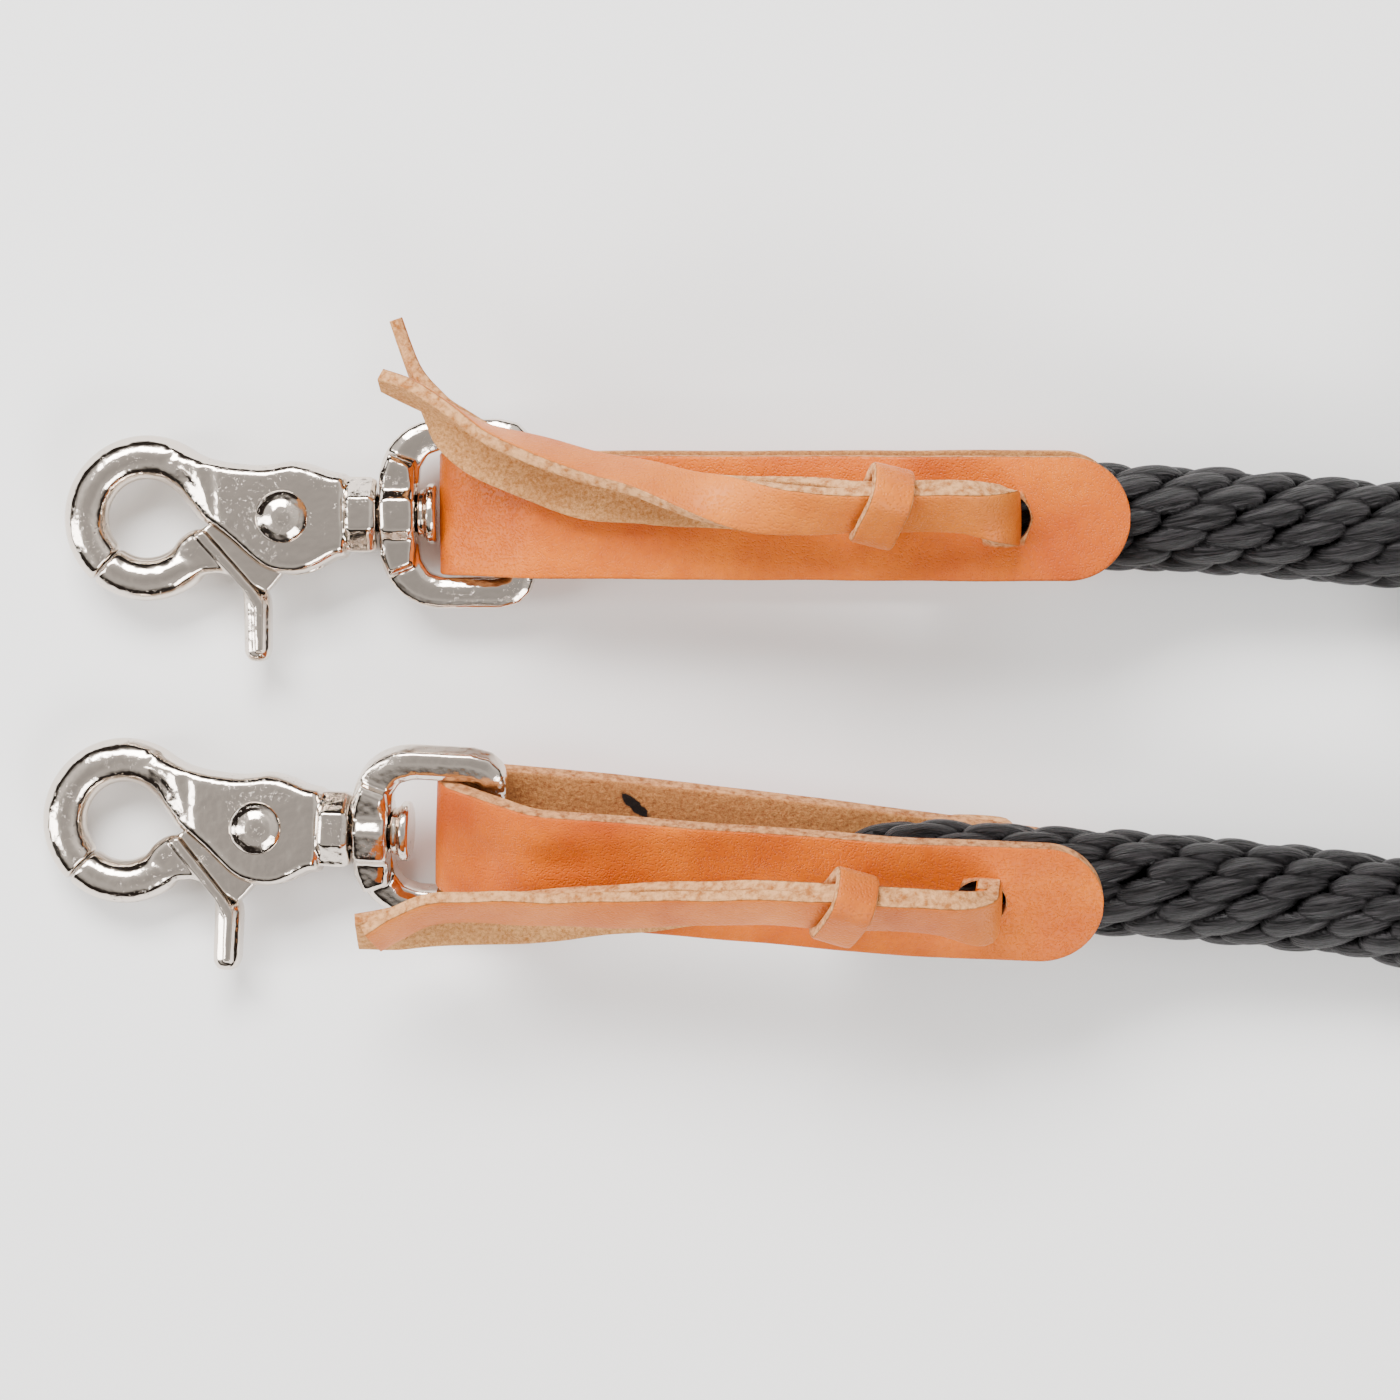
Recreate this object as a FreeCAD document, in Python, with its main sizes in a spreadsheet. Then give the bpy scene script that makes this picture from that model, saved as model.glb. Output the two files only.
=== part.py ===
"""Rope reins with leather end loops: a closed rope rein whose two ends each sit in a folded
harness-leather loop, held by a doubled leather lace with a sliding keeper. Each loop carries
the bar of a swivel eye, and a trigger snap turns in that eye.

Millimetres, +Z up. The reins lie on a table: both snaps point to -X, the rope leaves to +X and
its spare length is put away as a tied hank in line with the loops. The origin is at the middle
of the floor rectangle under the leather and the metal, at table height.

Each end is built in its own frame: the origin is the middle of the eye's bar, +X runs along
the leather to its mouth, +Y runs along the bar, and +Z leaves the front of the leather.
"""
import FreeCAD, Part

import math
import os

import Sketcher
from FreeCAD import Placement, Rotation, Vector

SIZES = {
    # leather loop, cut from 7/8 inch harness leather
    "strap_width": 22.2,
    "strap_thickness": 3.3,
    "loop_length": 124.0,
    "loop_gap": 19.4,
    "slot_middle": 87.0,
    "slot_length": 12.0,
    "slot_height": 10.4,
    "slit_spread": 8.4,
    "slit_length": 2.8,
    # lace and keeper, 3/8 inch lace leather
    "lace_width": 9.5,
    "lace_thickness": 2.2,
    "keeper_length": 7.3,
    "keeper_thickness": 2.1,
    "keeper_clearance": 0.25,
    # swivel eye
    "eye_length": 28.1,
    "eye_height": 34.0,
    "eye_thickness": 4.6,
    "bar_diameter": 4.3,
    "window_height": 23.5,
    "boss_diameter": 13.4,
    "boss_length": 6.5,
    "back_corner": 11.0,
    "bar_corner": 6.4,
    "stud_bore": 7.0,
    "eye_rounding": 1.6,
    # trigger snap
    "stud_diameter": 6.6,
    "swivel_gap": 0.3,
    "drum_diameter": 10.8,
    "drum_length": 3.9,
    "collar_diameter": 13.2,
    "collar_length": 5.2,
    "cheek_thickness": 10.6,
    "cheek_gap": 5.0,
    "throat_thickness": 7.4,
    "ring_radius": 11.05,
    "wire_diameter": 7.7,
    "ring_reach": 68.5,
    "rivet_reach": 43.4,
    "snap_drop": 0.8,
    "rivet_diameter": 4.0,
    "rivet_head": 9.2,
    "rivet_dome": 2.1,
    "rivet_clearance": 0.3,
    "web_thickness": 4.6,
    "hub_diameter": 12.8,
    "lever_width": 9.6,
    "spring_wire": 0.7,
    "spring_diameter": 7.0,
    "spring_pitch": 0.78,
    "spring_turns": 2.25,
    "spring_seat": 11.2,
    # rope, 3/4 inch solid braid, and the hank of its spare length
    "rope_diameter": 19.0,
    "hank_fold": 57.0,
    "hank_run": 310.0,
    "hank_start": 226.0,
    "hank_middle": -9.5,
    "hank_height": 38.2,
    "tie_thickness": 2.2,
    "tie_width": 14.0,
}

HOOK_FROM_DEG = 15.0
HOOK_TO_DEG = 228.0
GATE_FROM_DEG = 230.0
GATE_TO_DEG = 312.0

# Where each end lies: the middle of the eye's bar, the yaw of the whole end, the roll of the
# leather and its eye, and the pitch of the leather and of the eye with its snap.
ENDS = {
    "a": {
        "bar": (-10.6, 23.7, 8.75),
        "yaw": 0.0,
        "roll": 5.6,
        "loop_pitch": -1.2,
        "snap_pitch": -1.5,
        "bar_from_fold": 14.6,
    },
    "b": {
        "bar": (-15.2, -34.8, 11.85),
        "yaw": -2.9,
        "roll": 28.0,
        "loop_pitch": 0.0,
        "snap_pitch": -5.4,
        "bar_from_fold": 10.7,
    },
}

# The doubled lace and its two tails, as stations from the slot towards the fold. Each station
# is x, y, z in the end's frame without its roll, the tilt of the lace about its run in degrees
# (0 lies flat, 90 stands on edge) and the share of its full width.
LACE = {
    "a": {
        "double": [
            (88.3, -1.8, 18.0, 5.6, 1.0),
            (87.8, -1.6, 22.0, 14.0, 1.0),
            (85.8, -1.0, 25.8, 30.0, 1.0),
            (82.0, -0.3, 27.9, 44.0, 1.0),
            (78.5, 0.1, 28.2, 49.0, 1.0),
            (58.5, 0.1, 28.2, 49.0, 1.0),
        ],
        "upper": [
            (59.5, 0.1, 28.2, 49.0, 1.0),
            (52.0, 0.8, 27.0, 38.0, 1.0),
            (44.0, 2.2, 24.6, 15.0, 1.0),
            (32.5, 5.1, 21.4, -25.0, 1.0),
            (22.0, 7.8, 19.8, -45.0, 1.0),
            (12.0, 10.6, 18.4, -60.0, 1.0),
            (2.0, 13.2, 17.0, -72.0, 1.0),
            (-6.0, 16.2, 14.6, -78.0, 1.0),
            (-13.0, 20.4, 11.8, -82.0, 1.0),
            (-18.2, 24.4, 10.4, -84.0, 0.9),
            (-21.0, 28.6, 10.2, -84.0, 0.7),
            (-23.4, 34.2, 10.6, -84.0, 0.25),
        ],
        "lower": [
            (59.5, 0.1, 28.2, 49.0, 1.0),
            (52.0, 0.5, 24.6, 36.0, 1.0),
            (44.0, 1.0, 21.2, 20.0, 1.0),
            (30.0, 2.2, 17.9, 4.0, 1.0),
            (14.0, 3.6, 16.2, 2.0, 1.0),
            (3.4, 6.8, 15.8, 2.0, 1.0),
            (-5.7, 10.4, 15.6, 3.0, 1.0),
            (-13.8, 15.6, 15.8, 14.0, 1.0),
            (-19.6, 20.8, 17.4, 45.0, 1.0),
            (-24.6, 24.4, 19.4, 62.0, 0.9),
        ],
    },
    "b": {
        "double": [
            (88.3, -8.6, 16.2, 28.0, 1.0),
            (87.8, -9.4, 19.8, 34.0, 1.0),
            (85.8, -9.4, 23.4, 46.0, 1.0),
            (82.0, -8.8, 25.6, 56.0, 1.0),
            (78.5, -8.5, 26.0, 60.0, 1.0),
            (55.0, -8.5, 26.0, 60.0, 1.0),
        ],
        "upper": [
            (56.0, -8.5, 26.0, 60.0, 1.0),
            (46.0, -8.8, 23.6, 60.0, 1.0),
            (36.0, -9.4, 21.2, 60.0, 1.0),
            (26.0, -10.4, 18.8, 60.0, 1.0),
            (12.0, -11.2, 16.8, 62.0, 1.0),
            (-2.0, -11.4, 15.6, 64.0, 1.0),
            (-10.5, -12.2, 15.0, 64.0, 1.0),
            (-16.5, -15.0, 14.4, 62.0, 1.0),
            (-21.4, -18.2, 14.0, 60.0, 0.9),
        ],
        "lower": [
            (56.0, -8.5, 26.0, 60.0, 1.0),
            (46.0, -9.2, 21.6, 54.0, 1.0),
            (36.0, -10.2, 17.6, 46.0, 1.0),
            (26.0, -11.6, 13.8, 36.0, 1.0),
            (12.0, -13.6, 10.8, 26.0, 1.0),
            (-2.0, -15.2, 9.6, 26.0, 1.0),
            (-10.5, -16.4, 9.0, 34.0, 1.0),
            (-17.5, -18.0, 8.8, 48.0, 1.0),
            (-23.8, -19.0, 8.8, 58.0, 1.0),
        ],
    },
}
KEEPER_AT = {"a": (64.6, 0.1, 28.2, 49.0), "b": (62.5, -8.5, 26.0, 60.0)}

# The rope's centreline from its cut end inside each leather loop to the hank, on the table.
ROPE_A = [
    (62.1, 23.1, 15.8),
    (101.1, 22.9, 16.6),
    (126.1, 21.3, 13.0),
    (150.1, 19.5, 10.1),
    (172.1, 20.1, 9.7),
]
ROPE_B = [
    (58.1, -41.1, 16.7),
    (96.1, -43.0, 16.8),
    (122.1, -45.3, 13.2),
    (148.1, -47.9, 9.9),
    (180.1, -52.5, 9.6),
]

TURN_SHARE = 0.45
LEAST_RADIUS = 95.0
VOLUME_TOLERANCE = 0.02

doc = FreeCAD.newDocument("rope_reins")
sheet = doc.addObject("Spreadsheet::Sheet", "Sizes")
for row, (alias, value) in enumerate(SIZES.items(), start=1):
    sheet.set(f"A{row}", alias)
    sheet.set(f"B{row}", str(value))
    sheet.setAlias(f"B{row}", alias)
doc.recompute()


def size(alias):
    """One driving dimension, read from the sheet."""
    return float(sheet.get(alias))


def bind(thing, **sizes):
    """Binds properties of an object to expressions on the sheet."""
    for name, expression in sizes.items():
        words = expression.split(" ")
        named = [f"Sizes.{word}" if word in SIZES else word for word in words]
        thing.setExpression(name.replace("__", "."), " ".join(named))
    return thing


def part(kind, name, **sizes):
    """A Part workbench object with its sizes bound to the sheet."""
    return bind(doc.addObject(f"Part::{kind}", name), **sizes)


def turned(thing, at=(0, 0, 0), axis=(0, 0, 1), degrees=0.0):
    """Places an object at a point, turned about an axis."""
    thing.Placement = Placement(Vector(*at), Rotation(Vector(*axis), degrees))
    return thing


def fused(name, *pieces):
    """Several touching pieces made one."""
    thing = doc.addObject("Part::MultiFuse", name)
    thing.Shapes = list(pieces)
    return thing


def cut(name, base, tool):
    """One piece with another taken out of it."""
    thing = doc.addObject("Part::Cut", name)
    thing.Base, thing.Tool = base, tool
    return thing


def rounded(name, base, radius, chosen):
    """Fillets on the edges of a piece that a test chooses."""
    doc.recompute()
    thing = doc.addObject("Part::Fillet", name)
    thing.Base = base
    edges = enumerate(base.Shape.Edges, start=1)
    thing.Edges = [(number, radius, radius) for number, edge in edges if chosen(edge)]
    return thing


def along(direction):
    """A test for straight edges that don't run along a direction."""
    line = Vector(*direction)

    def test(edge):
        if not isinstance(edge.Curve, Part.Line):
            return True
        return abs(edge.Curve.Direction.dot(line)) < 0.99

    return test


# Flat outlines: a list of points, where a pair of points is an arc's middle and its end.
def curves(outline):
    """The lines and arcs of a closed outline."""
    places = [step[-1] if isinstance(step[0], tuple) else step for step in outline]
    found = []
    for start, step in zip(places, outline[1:] + outline[:1]):
        end = step[-1] if isinstance(step[0], tuple) else step
        if math.dist(start, end) < 1e-6:
            continue
        first, last = Vector(*start, 0), Vector(*end, 0)
        if isinstance(step[0], tuple):
            found.append(Part.Arc(first, Vector(*step[0], 0), last))
        else:
            found.append(Part.LineSegment(first, last))
    return found


def drawn(sketch, outlines):
    """Draws closed outlines in a sketch, each curve joined to the next."""
    for outline in outlines:
        first = sketch.GeometryCount
        pieces = curves(outline)
        sketch.addGeometry(pieces, False)
        for number in range(len(pieces)):
            here, after = first + number, first + (number + 1) % len(pieces)
            gaps = [
                (sketch.getPoint(here, p).distanceToPoint(sketch.getPoint(after, q)), p, q)
                for p in (1, 2)
                for q in (1, 2)
            ]
            _, own_end, next_end = min(gaps)
            joint = Sketcher.Constraint("Coincident", here, own_end, after, next_end)
            sketch.addConstraint(joint)
    return sketch


def plate(name, outline, thickness, holes=()):
    """A flat outline in the XY plane, made thick both ways from that plane."""
    sketch = doc.addObject("Sketcher::SketchObject", f"{name}_outline")
    drawn(sketch, [outline, *holes])
    thing = doc.addObject("Part::Extrusion", name)
    thing.Base = sketch
    thing.DirMode = "Normal"
    thing.Solid = True
    thing.Symmetric = True
    return bind(thing, LengthFwd=thickness)


def body_sketch(body, name, role, outlines):
    """A sketch on one of a body's own origin planes."""
    sketch = body.newObject("Sketcher::SketchObject", name)
    plane = [f for f in body.Origin.OriginFeatures if f.Role == role][0]
    sketch.AttachmentSupport = [(plane, "")]
    sketch.MapMode = "FlatFace"
    drawn(sketch, outlines)
    return sketch


def padded(body, name, role, outlines, length):
    """A symmetric pad in a body."""
    sketch = body_sketch(body, f"{name}_outline", role, outlines)
    pad = body.newObject("PartDesign::Pad", name)
    pad.Profile = sketch
    pad.SideType = "Symmetric"
    return bind(pad, Length=length)


def pocketed(body, name, role, outlines, length):
    """A symmetric pocket in a body. It has to take something out."""
    doc.recompute()
    before = body.Shape.Volume
    sketch = body_sketch(body, f"{name}_outline", role, outlines)
    pocket = body.newObject("PartDesign::Pocket", name)
    pocket.Profile = sketch
    pocket.SideType = "Symmetric"
    bind(pocket, Length=length)
    doc.recompute()
    assert body.Shape.Volume < before - 1.0, f"{name} cuts nothing"
    return pocket


# Bent strips: straight runs with a tangent arc at each corner, offset to both sides.
def crossing(point_a, way_a, point_b, way_b):
    """Where two lines in a plane cross."""
    turn = way_a[0] * way_b[1] - way_a[1] * way_b[0]
    gap = (point_b[0] - point_a[0], point_b[1] - point_a[1])
    reach = (gap[0] * way_b[1] - gap[1] * way_b[0]) / turn
    return (point_a[0] + reach * way_a[0], point_a[1] + reach * way_a[1])


def shifted(points, distance):
    """A bent line moved sideways, to its left, by a distance."""
    ways = []
    for start, end in zip(points, points[1:]):
        run = math.dist(start, end)
        ways.append(((end[0] - start[0]) / run, (end[1] - start[1]) / run))
    sides = [(-way[1] * distance, way[0] * distance) for way in ways]
    moved = [(points[0][0] + sides[0][0], points[0][1] + sides[0][1])]
    for number in range(1, len(ways)):
        corner = points[number]
        line_a = (corner[0] + sides[number - 1][0], corner[1] + sides[number - 1][1])
        line_b = (corner[0] + sides[number][0], corner[1] + sides[number][1])
        moved.append(crossing(line_a, ways[number - 1], line_b, ways[number]))
    moved.append((points[-1][0] + sides[-1][0], points[-1][1] + sides[-1][1]))
    return moved, ways


def bent(points, radii, distance):
    """The steps of a bent line's offset: points and arcs, for an outline."""
    moved, ways = shifted(points, distance)
    steps = [moved[0]]
    for number, radius in enumerate(radii, start=1):
        before, after = ways[number - 1], ways[number]
        side = before[0] * after[1] - before[1] * after[0]
        own = radius - distance if side > 0 else radius + distance
        half = math.acos(max(-1.0, min(1.0, before[0] * after[0] + before[1] * after[1]))) / 2
        reach = own * math.tan(half)
        corner = moved[number]
        start = (corner[0] - before[0] * reach, corner[1] - before[1] * reach)
        end = (corner[0] + after[0] * reach, corner[1] + after[1] * reach)
        inward = (after[0] - before[0], after[1] - before[1])
        length = math.hypot(*inward)
        rise = own / math.cos(half) - own
        middle = (corner[0] + inward[0] / length * rise, corner[1] + inward[1] / length * rise)
        steps.append(start)
        steps.append((middle, end))
    steps.append(moved[-1])
    return steps


def reversed_steps(steps):
    """The same line the other way round."""
    ends = [s[-1] if isinstance(s[0], tuple) else s for s in steps]
    back = [ends[-1]]
    for number in range(len(steps) - 1, 0, -1):
        step = steps[number]
        back.append((step[0], ends[number - 1]) if isinstance(step[0], tuple) else ends[number - 1])
    return back


def loop_line(bar_from_fold):
    """The leather's middle line, from the back mouth round the fold to the front mouth."""
    half = size("strap_thickness") / 2
    back = -(size("strap_thickness") + 4.2) + half
    front = back + size("strap_thickness") + size("loop_gap")
    tip = half - bar_from_fold
    mouth = size("loop_length") - bar_from_fold
    points = [
        (mouth, back),
        (tip, back),
        (tip, back + 6.9),
        (tip + 16.0, 10.3),
        (tip + 35.0, 11.6),
        (tip + 58.0, 13.7),
        (tip + 83.0, front),
        (mouth, front),
    ]
    return points, [4.35, 4.35, 12.0, 60.0, 60.0, 60.0]


def placed(thing, end, pitch, rolled=True):
    """Places a piece built in an end's own frame."""
    facts = ENDS[end]
    yaw = Rotation(Vector(0, 0, 1), facts["yaw"])
    lean = Rotation(Vector(0, 1, 0), facts[pitch])
    roll = Rotation(Vector(1, 0, 0), facts["roll"] if rolled else 0.0)
    thing.Placement = Placement(Vector(*facts["bar"]), yaw * lean * roll)
    return thing


def leather_loop(end):
    """Harness leather folded round the eye's bar, with a slot for the lace in its front layer,
    two slits in its back layer and round-cut ends."""
    body = doc.addObject("PartDesign::Body", f"leather_loop_{end}")
    from_fold = ENDS[end]["bar_from_fold"]
    points, radii = loop_line(from_fold)
    half = size("strap_thickness") / 2
    outside = bent(points, radii, -half)
    inside = reversed_steps(bent(points, radii, half))
    # The side view is drawn in the XZ plane, whose sketch has its own +Y along the end's +Z.
    padded(body, f"folded_{end}", "XZ_Plane", [outside + inside], "strap_width")
    mouth = size("loop_length") - from_fold
    wide = size("strap_width") / 2
    straight = mouth - wide
    outer = mouth + 5.0
    beyond = wide + 5.0
    nose = (straight + wide / math.sqrt(2), wide / math.sqrt(2))
    corner = [
        (straight, wide),
        ((straight + wide * math.sin(math.pi / 4), nose[1]), (mouth, 0.0)),
        ((straight + wide * math.sin(math.pi / 4), -nose[1]), (straight, -wide)),
        (straight, -beyond),
        (outer, -beyond),
        (outer, beyond),
        (straight, beyond),
    ]
    pocketed(body, f"round_ends_{end}", "XY_Plane", [corner], "loop_length")
    rise = size("slot_height") / 2
    slot_end = size("slot_length") / 2
    middle = size("slot_middle")
    flat = slot_end - rise * 0.6
    slot = [
        (middle - flat, rise),
        (middle + flat, rise),
        ((middle + slot_end, 0.0), (middle + flat, -rise)),
        (middle - flat, -rise),
        ((middle - slot_end, 0.0), (middle - flat, rise)),
    ]
    doc.recompute()
    before = body.Shape.Volume
    sketch = body_sketch(body, f"slot_{end}_outline", "XY_Plane", [slot])
    pocket = body.newObject("PartDesign::Pocket", f"slot_{end}")
    pocket.Profile = sketch
    pocket.SideType = "One side"
    pocket.Reversed = True
    bind(pocket, Length="loop_gap + 8")
    doc.recompute()
    assert body.Shape.Volume < before - 1.0, "the slot cuts nothing"
    slits = []
    for side in (-1, 1):
        x = middle + side * size("slit_spread") / 2
        reach = size("slit_length") / 2
        slits.append([(x - reach, rise), (x + reach, rise), (x + reach, -rise), (x - reach, -rise)])
    before = body.Shape.Volume
    sketch = body_sketch(body, f"slits_{end}_outline", "XY_Plane", slits)
    pocket = body.newObject("PartDesign::Pocket", f"slits_{end}")
    pocket.Profile = sketch
    pocket.SideType = "One side"
    bind(pocket, Length="loop_gap")
    doc.recompute()
    assert body.Shape.Volume < before - 1.0, "the slits cut nothing"
    return placed(body, end, "loop_pitch")


def swivel_eye(end):
    """A cast D-shaped eye: a boss bored for the swivel stud, two arms and a round bar."""
    back = size("bar_diameter") / 2 - size("eye_length")
    front = size("bar_diameter") / 2
    high = size("eye_height") / 2
    inner = size("window_height") / 2
    wall = back + size("boss_length")
    big, small = size("back_corner"), size("bar_corner")
    lean = 1 - math.sqrt(0.5)
    inside = 4.6
    outline = [
        (back, high - big),
        ((back + big * lean, high - big * lean), (back + big, high)),
        (front - small, high),
        ((front - small * lean, high - small * lean), (front, high - small)),
        (front, -high + small),
        ((front - small * lean, -high + small * lean), (front - small, -high)),
        (back + big, -high),
        ((back + big * lean, -high + big * lean), (back, -high + big)),
    ]
    near = 2.6
    window = [
        (wall, -inner + inside),
        (wall, inner - inside),
        ((wall + inside * lean, inner - inside * lean), (wall + inside, inner)),
        (-front - near, inner),
        ((-front - near * lean, inner - near * lean), (-front, inner - near)),
        (-front, -inner + near),
        ((-front - near * lean, -inner + near * lean), (-front - near, -inner)),
        (wall + inside, -inner),
        ((wall + inside * lean, -inner + inside * lean), (wall, -inner + inside)),
    ]
    arms = plate(f"arms_{end}", outline, "eye_thickness", [window])
    soft = rounded(f"cast_arms_{end}", arms, size("eye_rounding"), along((0, 0, 1)))
    boss = part("Cylinder", f"boss_{end}", Radius="boss_diameter / 2", Height="boss_length")
    turned(boss, (back, 0, 0), (0, 1, 0), 90)
    edges = rounded(f"cast_boss_{end}", boss, 1.0, lambda edge: isinstance(edge.Curve, Part.Circle))
    bar_place = part("Box", f"bar_place_{end}", Length="bar_diameter + 3")
    bind(bar_place, Width="window_height - 0.6", Height="eye_thickness + 2")
    turned(bar_place, (-front - 0.8, -inner + 0.3, -size("eye_thickness") / 2 - 1))
    open_arms = cut(f"open_arms_{end}", soft, bar_place)
    bar = part("Cylinder", f"bar_{end}", Radius="bar_diameter / 2", Height="window_height + 3")
    turned(bar, (0, -inner - 1.5, 0), (1, 0, 0), -90)
    ring = fused(f"eye_{end}", open_arms, bar, edges)
    bore = part("Cylinder", f"stud_bore_{end}", Radius="stud_bore / 2", Height="boss_length * 2")
    turned(bore, (back - size("boss_length") / 2, 0, 0), (0, 1, 0), 90)
    return placed(cut(f"swivel_eye_{end}", ring, bore), end, "snap_pitch")


def rivet_centre():
    return (-size("rivet_reach"), -size("snap_drop"))


def snap_body(end):
    """The cast body of the trigger snap: hook, two cheeks round the trigger, swivel collar,
    and the stud whose headed drum holds it in the eye."""
    eye_back = size("bar_diameter") / 2 - size("eye_length")
    gap = size("swivel_gap")
    collar_end = eye_back - gap
    neck = collar_end - size("collar_length")
    rivet_x, rivet_y = rivet_centre()
    ring_x, ring_y = -size("ring_reach"), -size("snap_drop")
    cheeks = plate(
        f"cheeks_{end}",
        [
            (neck + 0.4, 6.3),
            ((-35.2, 7.7), (-38.4, 9.0)),
            ((-42.0, 9.6), (-46.5, 8.9)),
            ((-51.5, 8.9), (-57.6, 10.2)),
            (-59.6, 2.4),
            (-57.4, -1.7),
            (-50.6, -7.9),
            ((-44.4, -11.4), (-37.8, -10.6)),
            ((-34.8, -8.8), (neck + 0.4, -7.0)),
        ],
        "cheek_thickness",
    )
    throat = plate(
        f"throat_{end}",
        [
            (-54.0, 9.2),
            ((-60.6, 11.2), (-67.2, 13.9)),
            (-65.2, 8.6),
            (-62.9, 4.9),
            (-57.6, -1.5),
            (-54.0, 2.0),
        ],
        "throat_thickness",
    )
    hook = part("Torus", f"hook_{end}", Radius1="ring_radius", Radius2="wire_diameter / 2")
    hook.Angle3 = HOOK_TO_DEG - HOOK_FROM_DEG
    turned(hook, (ring_x, ring_y, 0), degrees=HOOK_FROM_DEG)
    collar = part("Cylinder", f"collar_{end}", Radius="collar_diameter / 2", Height="collar_length")
    turned(collar, (neck, 0, 0), (0, 1, 0), 90)
    soft_collar = rounded(
        f"cast_collar_{end}", collar, 0.8, lambda edge: isinstance(edge.Curve, Part.Circle)
    )
    drum_end = eye_back + size("boss_length") + gap
    stud = part("Cylinder", f"stud_{end}", Radius="stud_diameter / 2", Height="boss_length + 3")
    turned(stud, (collar_end - 1.0, 0, 0), (0, 1, 0), 90)
    drum = part("Cylinder", f"drum_{end}", Radius="drum_diameter / 2", Height="drum_length")
    turned(drum, (drum_end, 0, 0), (0, 1, 0), 90)
    soft_drum = rounded(
        f"peened_drum_{end}", drum, 0.6, lambda edge: isinstance(edge.Curve, Part.Circle)
    )
    whole = fused(f"casting_{end}", cheeks, throat, hook, soft_collar, stud, soft_drum)
    space = plate(
        f"trigger_space_{end}",
        [
            (-57.7, -1.9),
            (rivet_x - 4.6, rivet_y + 6.1),
            (rivet_x + 7.2, rivet_y),
            (rivet_x + 7.2, -14.0),
            (-60.5, -14.0),
            (-60.5, -3.9),
        ],
        "cheek_gap",
    )
    round_space = part("Cylinder", f"hub_space_{end}", Radius="hub_diameter / 2 + 0.7")
    bind(round_space, Height="cheek_gap")
    turned(round_space, (rivet_x, rivet_y, -size("cheek_gap") / 2))
    rivet_hole = part("Cylinder", f"cheek_hole_{end}", Radius="rivet_diameter / 2 + 0.05")
    bind(rivet_hole, Height="cheek_thickness * 2")
    turned(rivet_hole, (rivet_x, rivet_y, -size("cheek_thickness")))
    spaces = fused(f"spaces_{end}", space, round_space, rivet_hole)
    return placed(cut(f"snap_body_{end}", whole, spaces), end, "snap_pitch", rolled=False)


def trigger(end):
    """The sprung gate with its thumb lever, on a hub between the cheeks."""
    rivet_x, rivet_y = rivet_centre()
    web = plate(
        f"web_{end}",
        [
            (-58.5, -2.9),
            (rivet_x - 3.9, rivet_y + 4.9),
            (rivet_x + 5.6, rivet_y - 3.0),
            (-45.8, -13.6),
            (-49.0, -16.0),
            (-53.0, -9.0),
            (-61.0, -5.6),
        ],
        "web_thickness",
    )
    hub = part("Cylinder", f"hub_{end}", Radius="hub_diameter / 2", Height="web_thickness")
    turned(hub, (rivet_x, rivet_y, -size("web_thickness") / 2))
    gate_plate = plate(
        f"gate_plate_{end}",
        [
            (-58.7, -2.7),
            (-49.6, -13.1),
            (-45.8, -14.6),
            (-45.8, -18.0),
            (-50.5, -18.0),
            ((-51.6, -12.3), (-55.2, -10.6)),
            ((-59.0, -11.0), (-62.6, -13.3)),
            (-64.4, -10.4),
            (-63.6, -7.0),
        ],
        "wire_diameter - 0.3",
    )
    gate = part("Torus", f"gate_{end}", Radius1="ring_radius", Radius2="wire_diameter / 2")
    gate.Angle3 = GATE_TO_DEG - GATE_FROM_DEG
    turned(gate, (-size("ring_reach"), -size("snap_drop"), 0), degrees=GATE_FROM_DEG)
    lever = plate(
        f"lever_{end}",
        [(-45.8, -14.6), (-45.8, -26.4), (-50.5, -26.4), (-50.5, -14.6)],
        "lever_width",
    )
    soft_lever = rounded(f"cast_lever_{end}", lever, 1.0, lambda edge: True)
    whole = fused(f"trigger_casting_{end}", web, hub, gate_plate, gate, soft_lever)
    hole = part("Cylinder", f"pivot_hole_{end}", Radius="rivet_diameter / 2 + rivet_clearance / 2")
    bind(hole, Height="cheek_thickness")
    turned(hole, (rivet_x, rivet_y, -size("cheek_thickness") / 2))
    seat = part("Cylinder", f"spring_seat_{end}", Radius="spring_seat / 2", Height="web_thickness")
    turned(seat, (rivet_x, rivet_y, 0))
    leg_way = part("Box", f"leg_way_{end}")
    leg_way.Length, leg_way.Width, leg_way.Height = 9.0, 8.0, 4.0
    turned(leg_way, (rivet_x - 1.0, rivet_y, 0))
    spaces = fused(f"trigger_spaces_{end}", hole, seat, leg_way)
    return placed(cut(f"trigger_{end}", whole, spaces), end, "snap_pitch", rolled=False)


def rivet(end):
    """The trigger's rivet, with a domed head on each side."""
    seat = size("cheek_thickness") / 2 + 0.05
    shaft = part("Cylinder", f"rivet_shaft_{end}", Radius="rivet_diameter / 2")
    bind(shaft, Height="cheek_thickness + 1")
    turned(shaft, (0, 0, -size("cheek_thickness") / 2 - 0.5))
    heads = []
    for name, low in (("near", seat), ("far", -seat - size("rivet_dome"))):
        head = part("Cylinder", f"{name}_head_{end}", Radius="rivet_head / 2", Height="rivet_dome")
        turned(head, (0, 0, low))
        heads.append(head)
    outer = (seat + size("rivet_dome"), -seat - size("rivet_dome"))
    plain = fused(f"plain_rivet_{end}", shaft, *heads)
    whole = rounded(
        f"rivet_{end}",
        plain,
        1.4,
        lambda edge: isinstance(edge.Curve, Part.Circle)
        and min(abs(edge.Curve.Center.z - z) for z in outer) < 0.01,
    )
    return pinned(whole, end)


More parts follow.
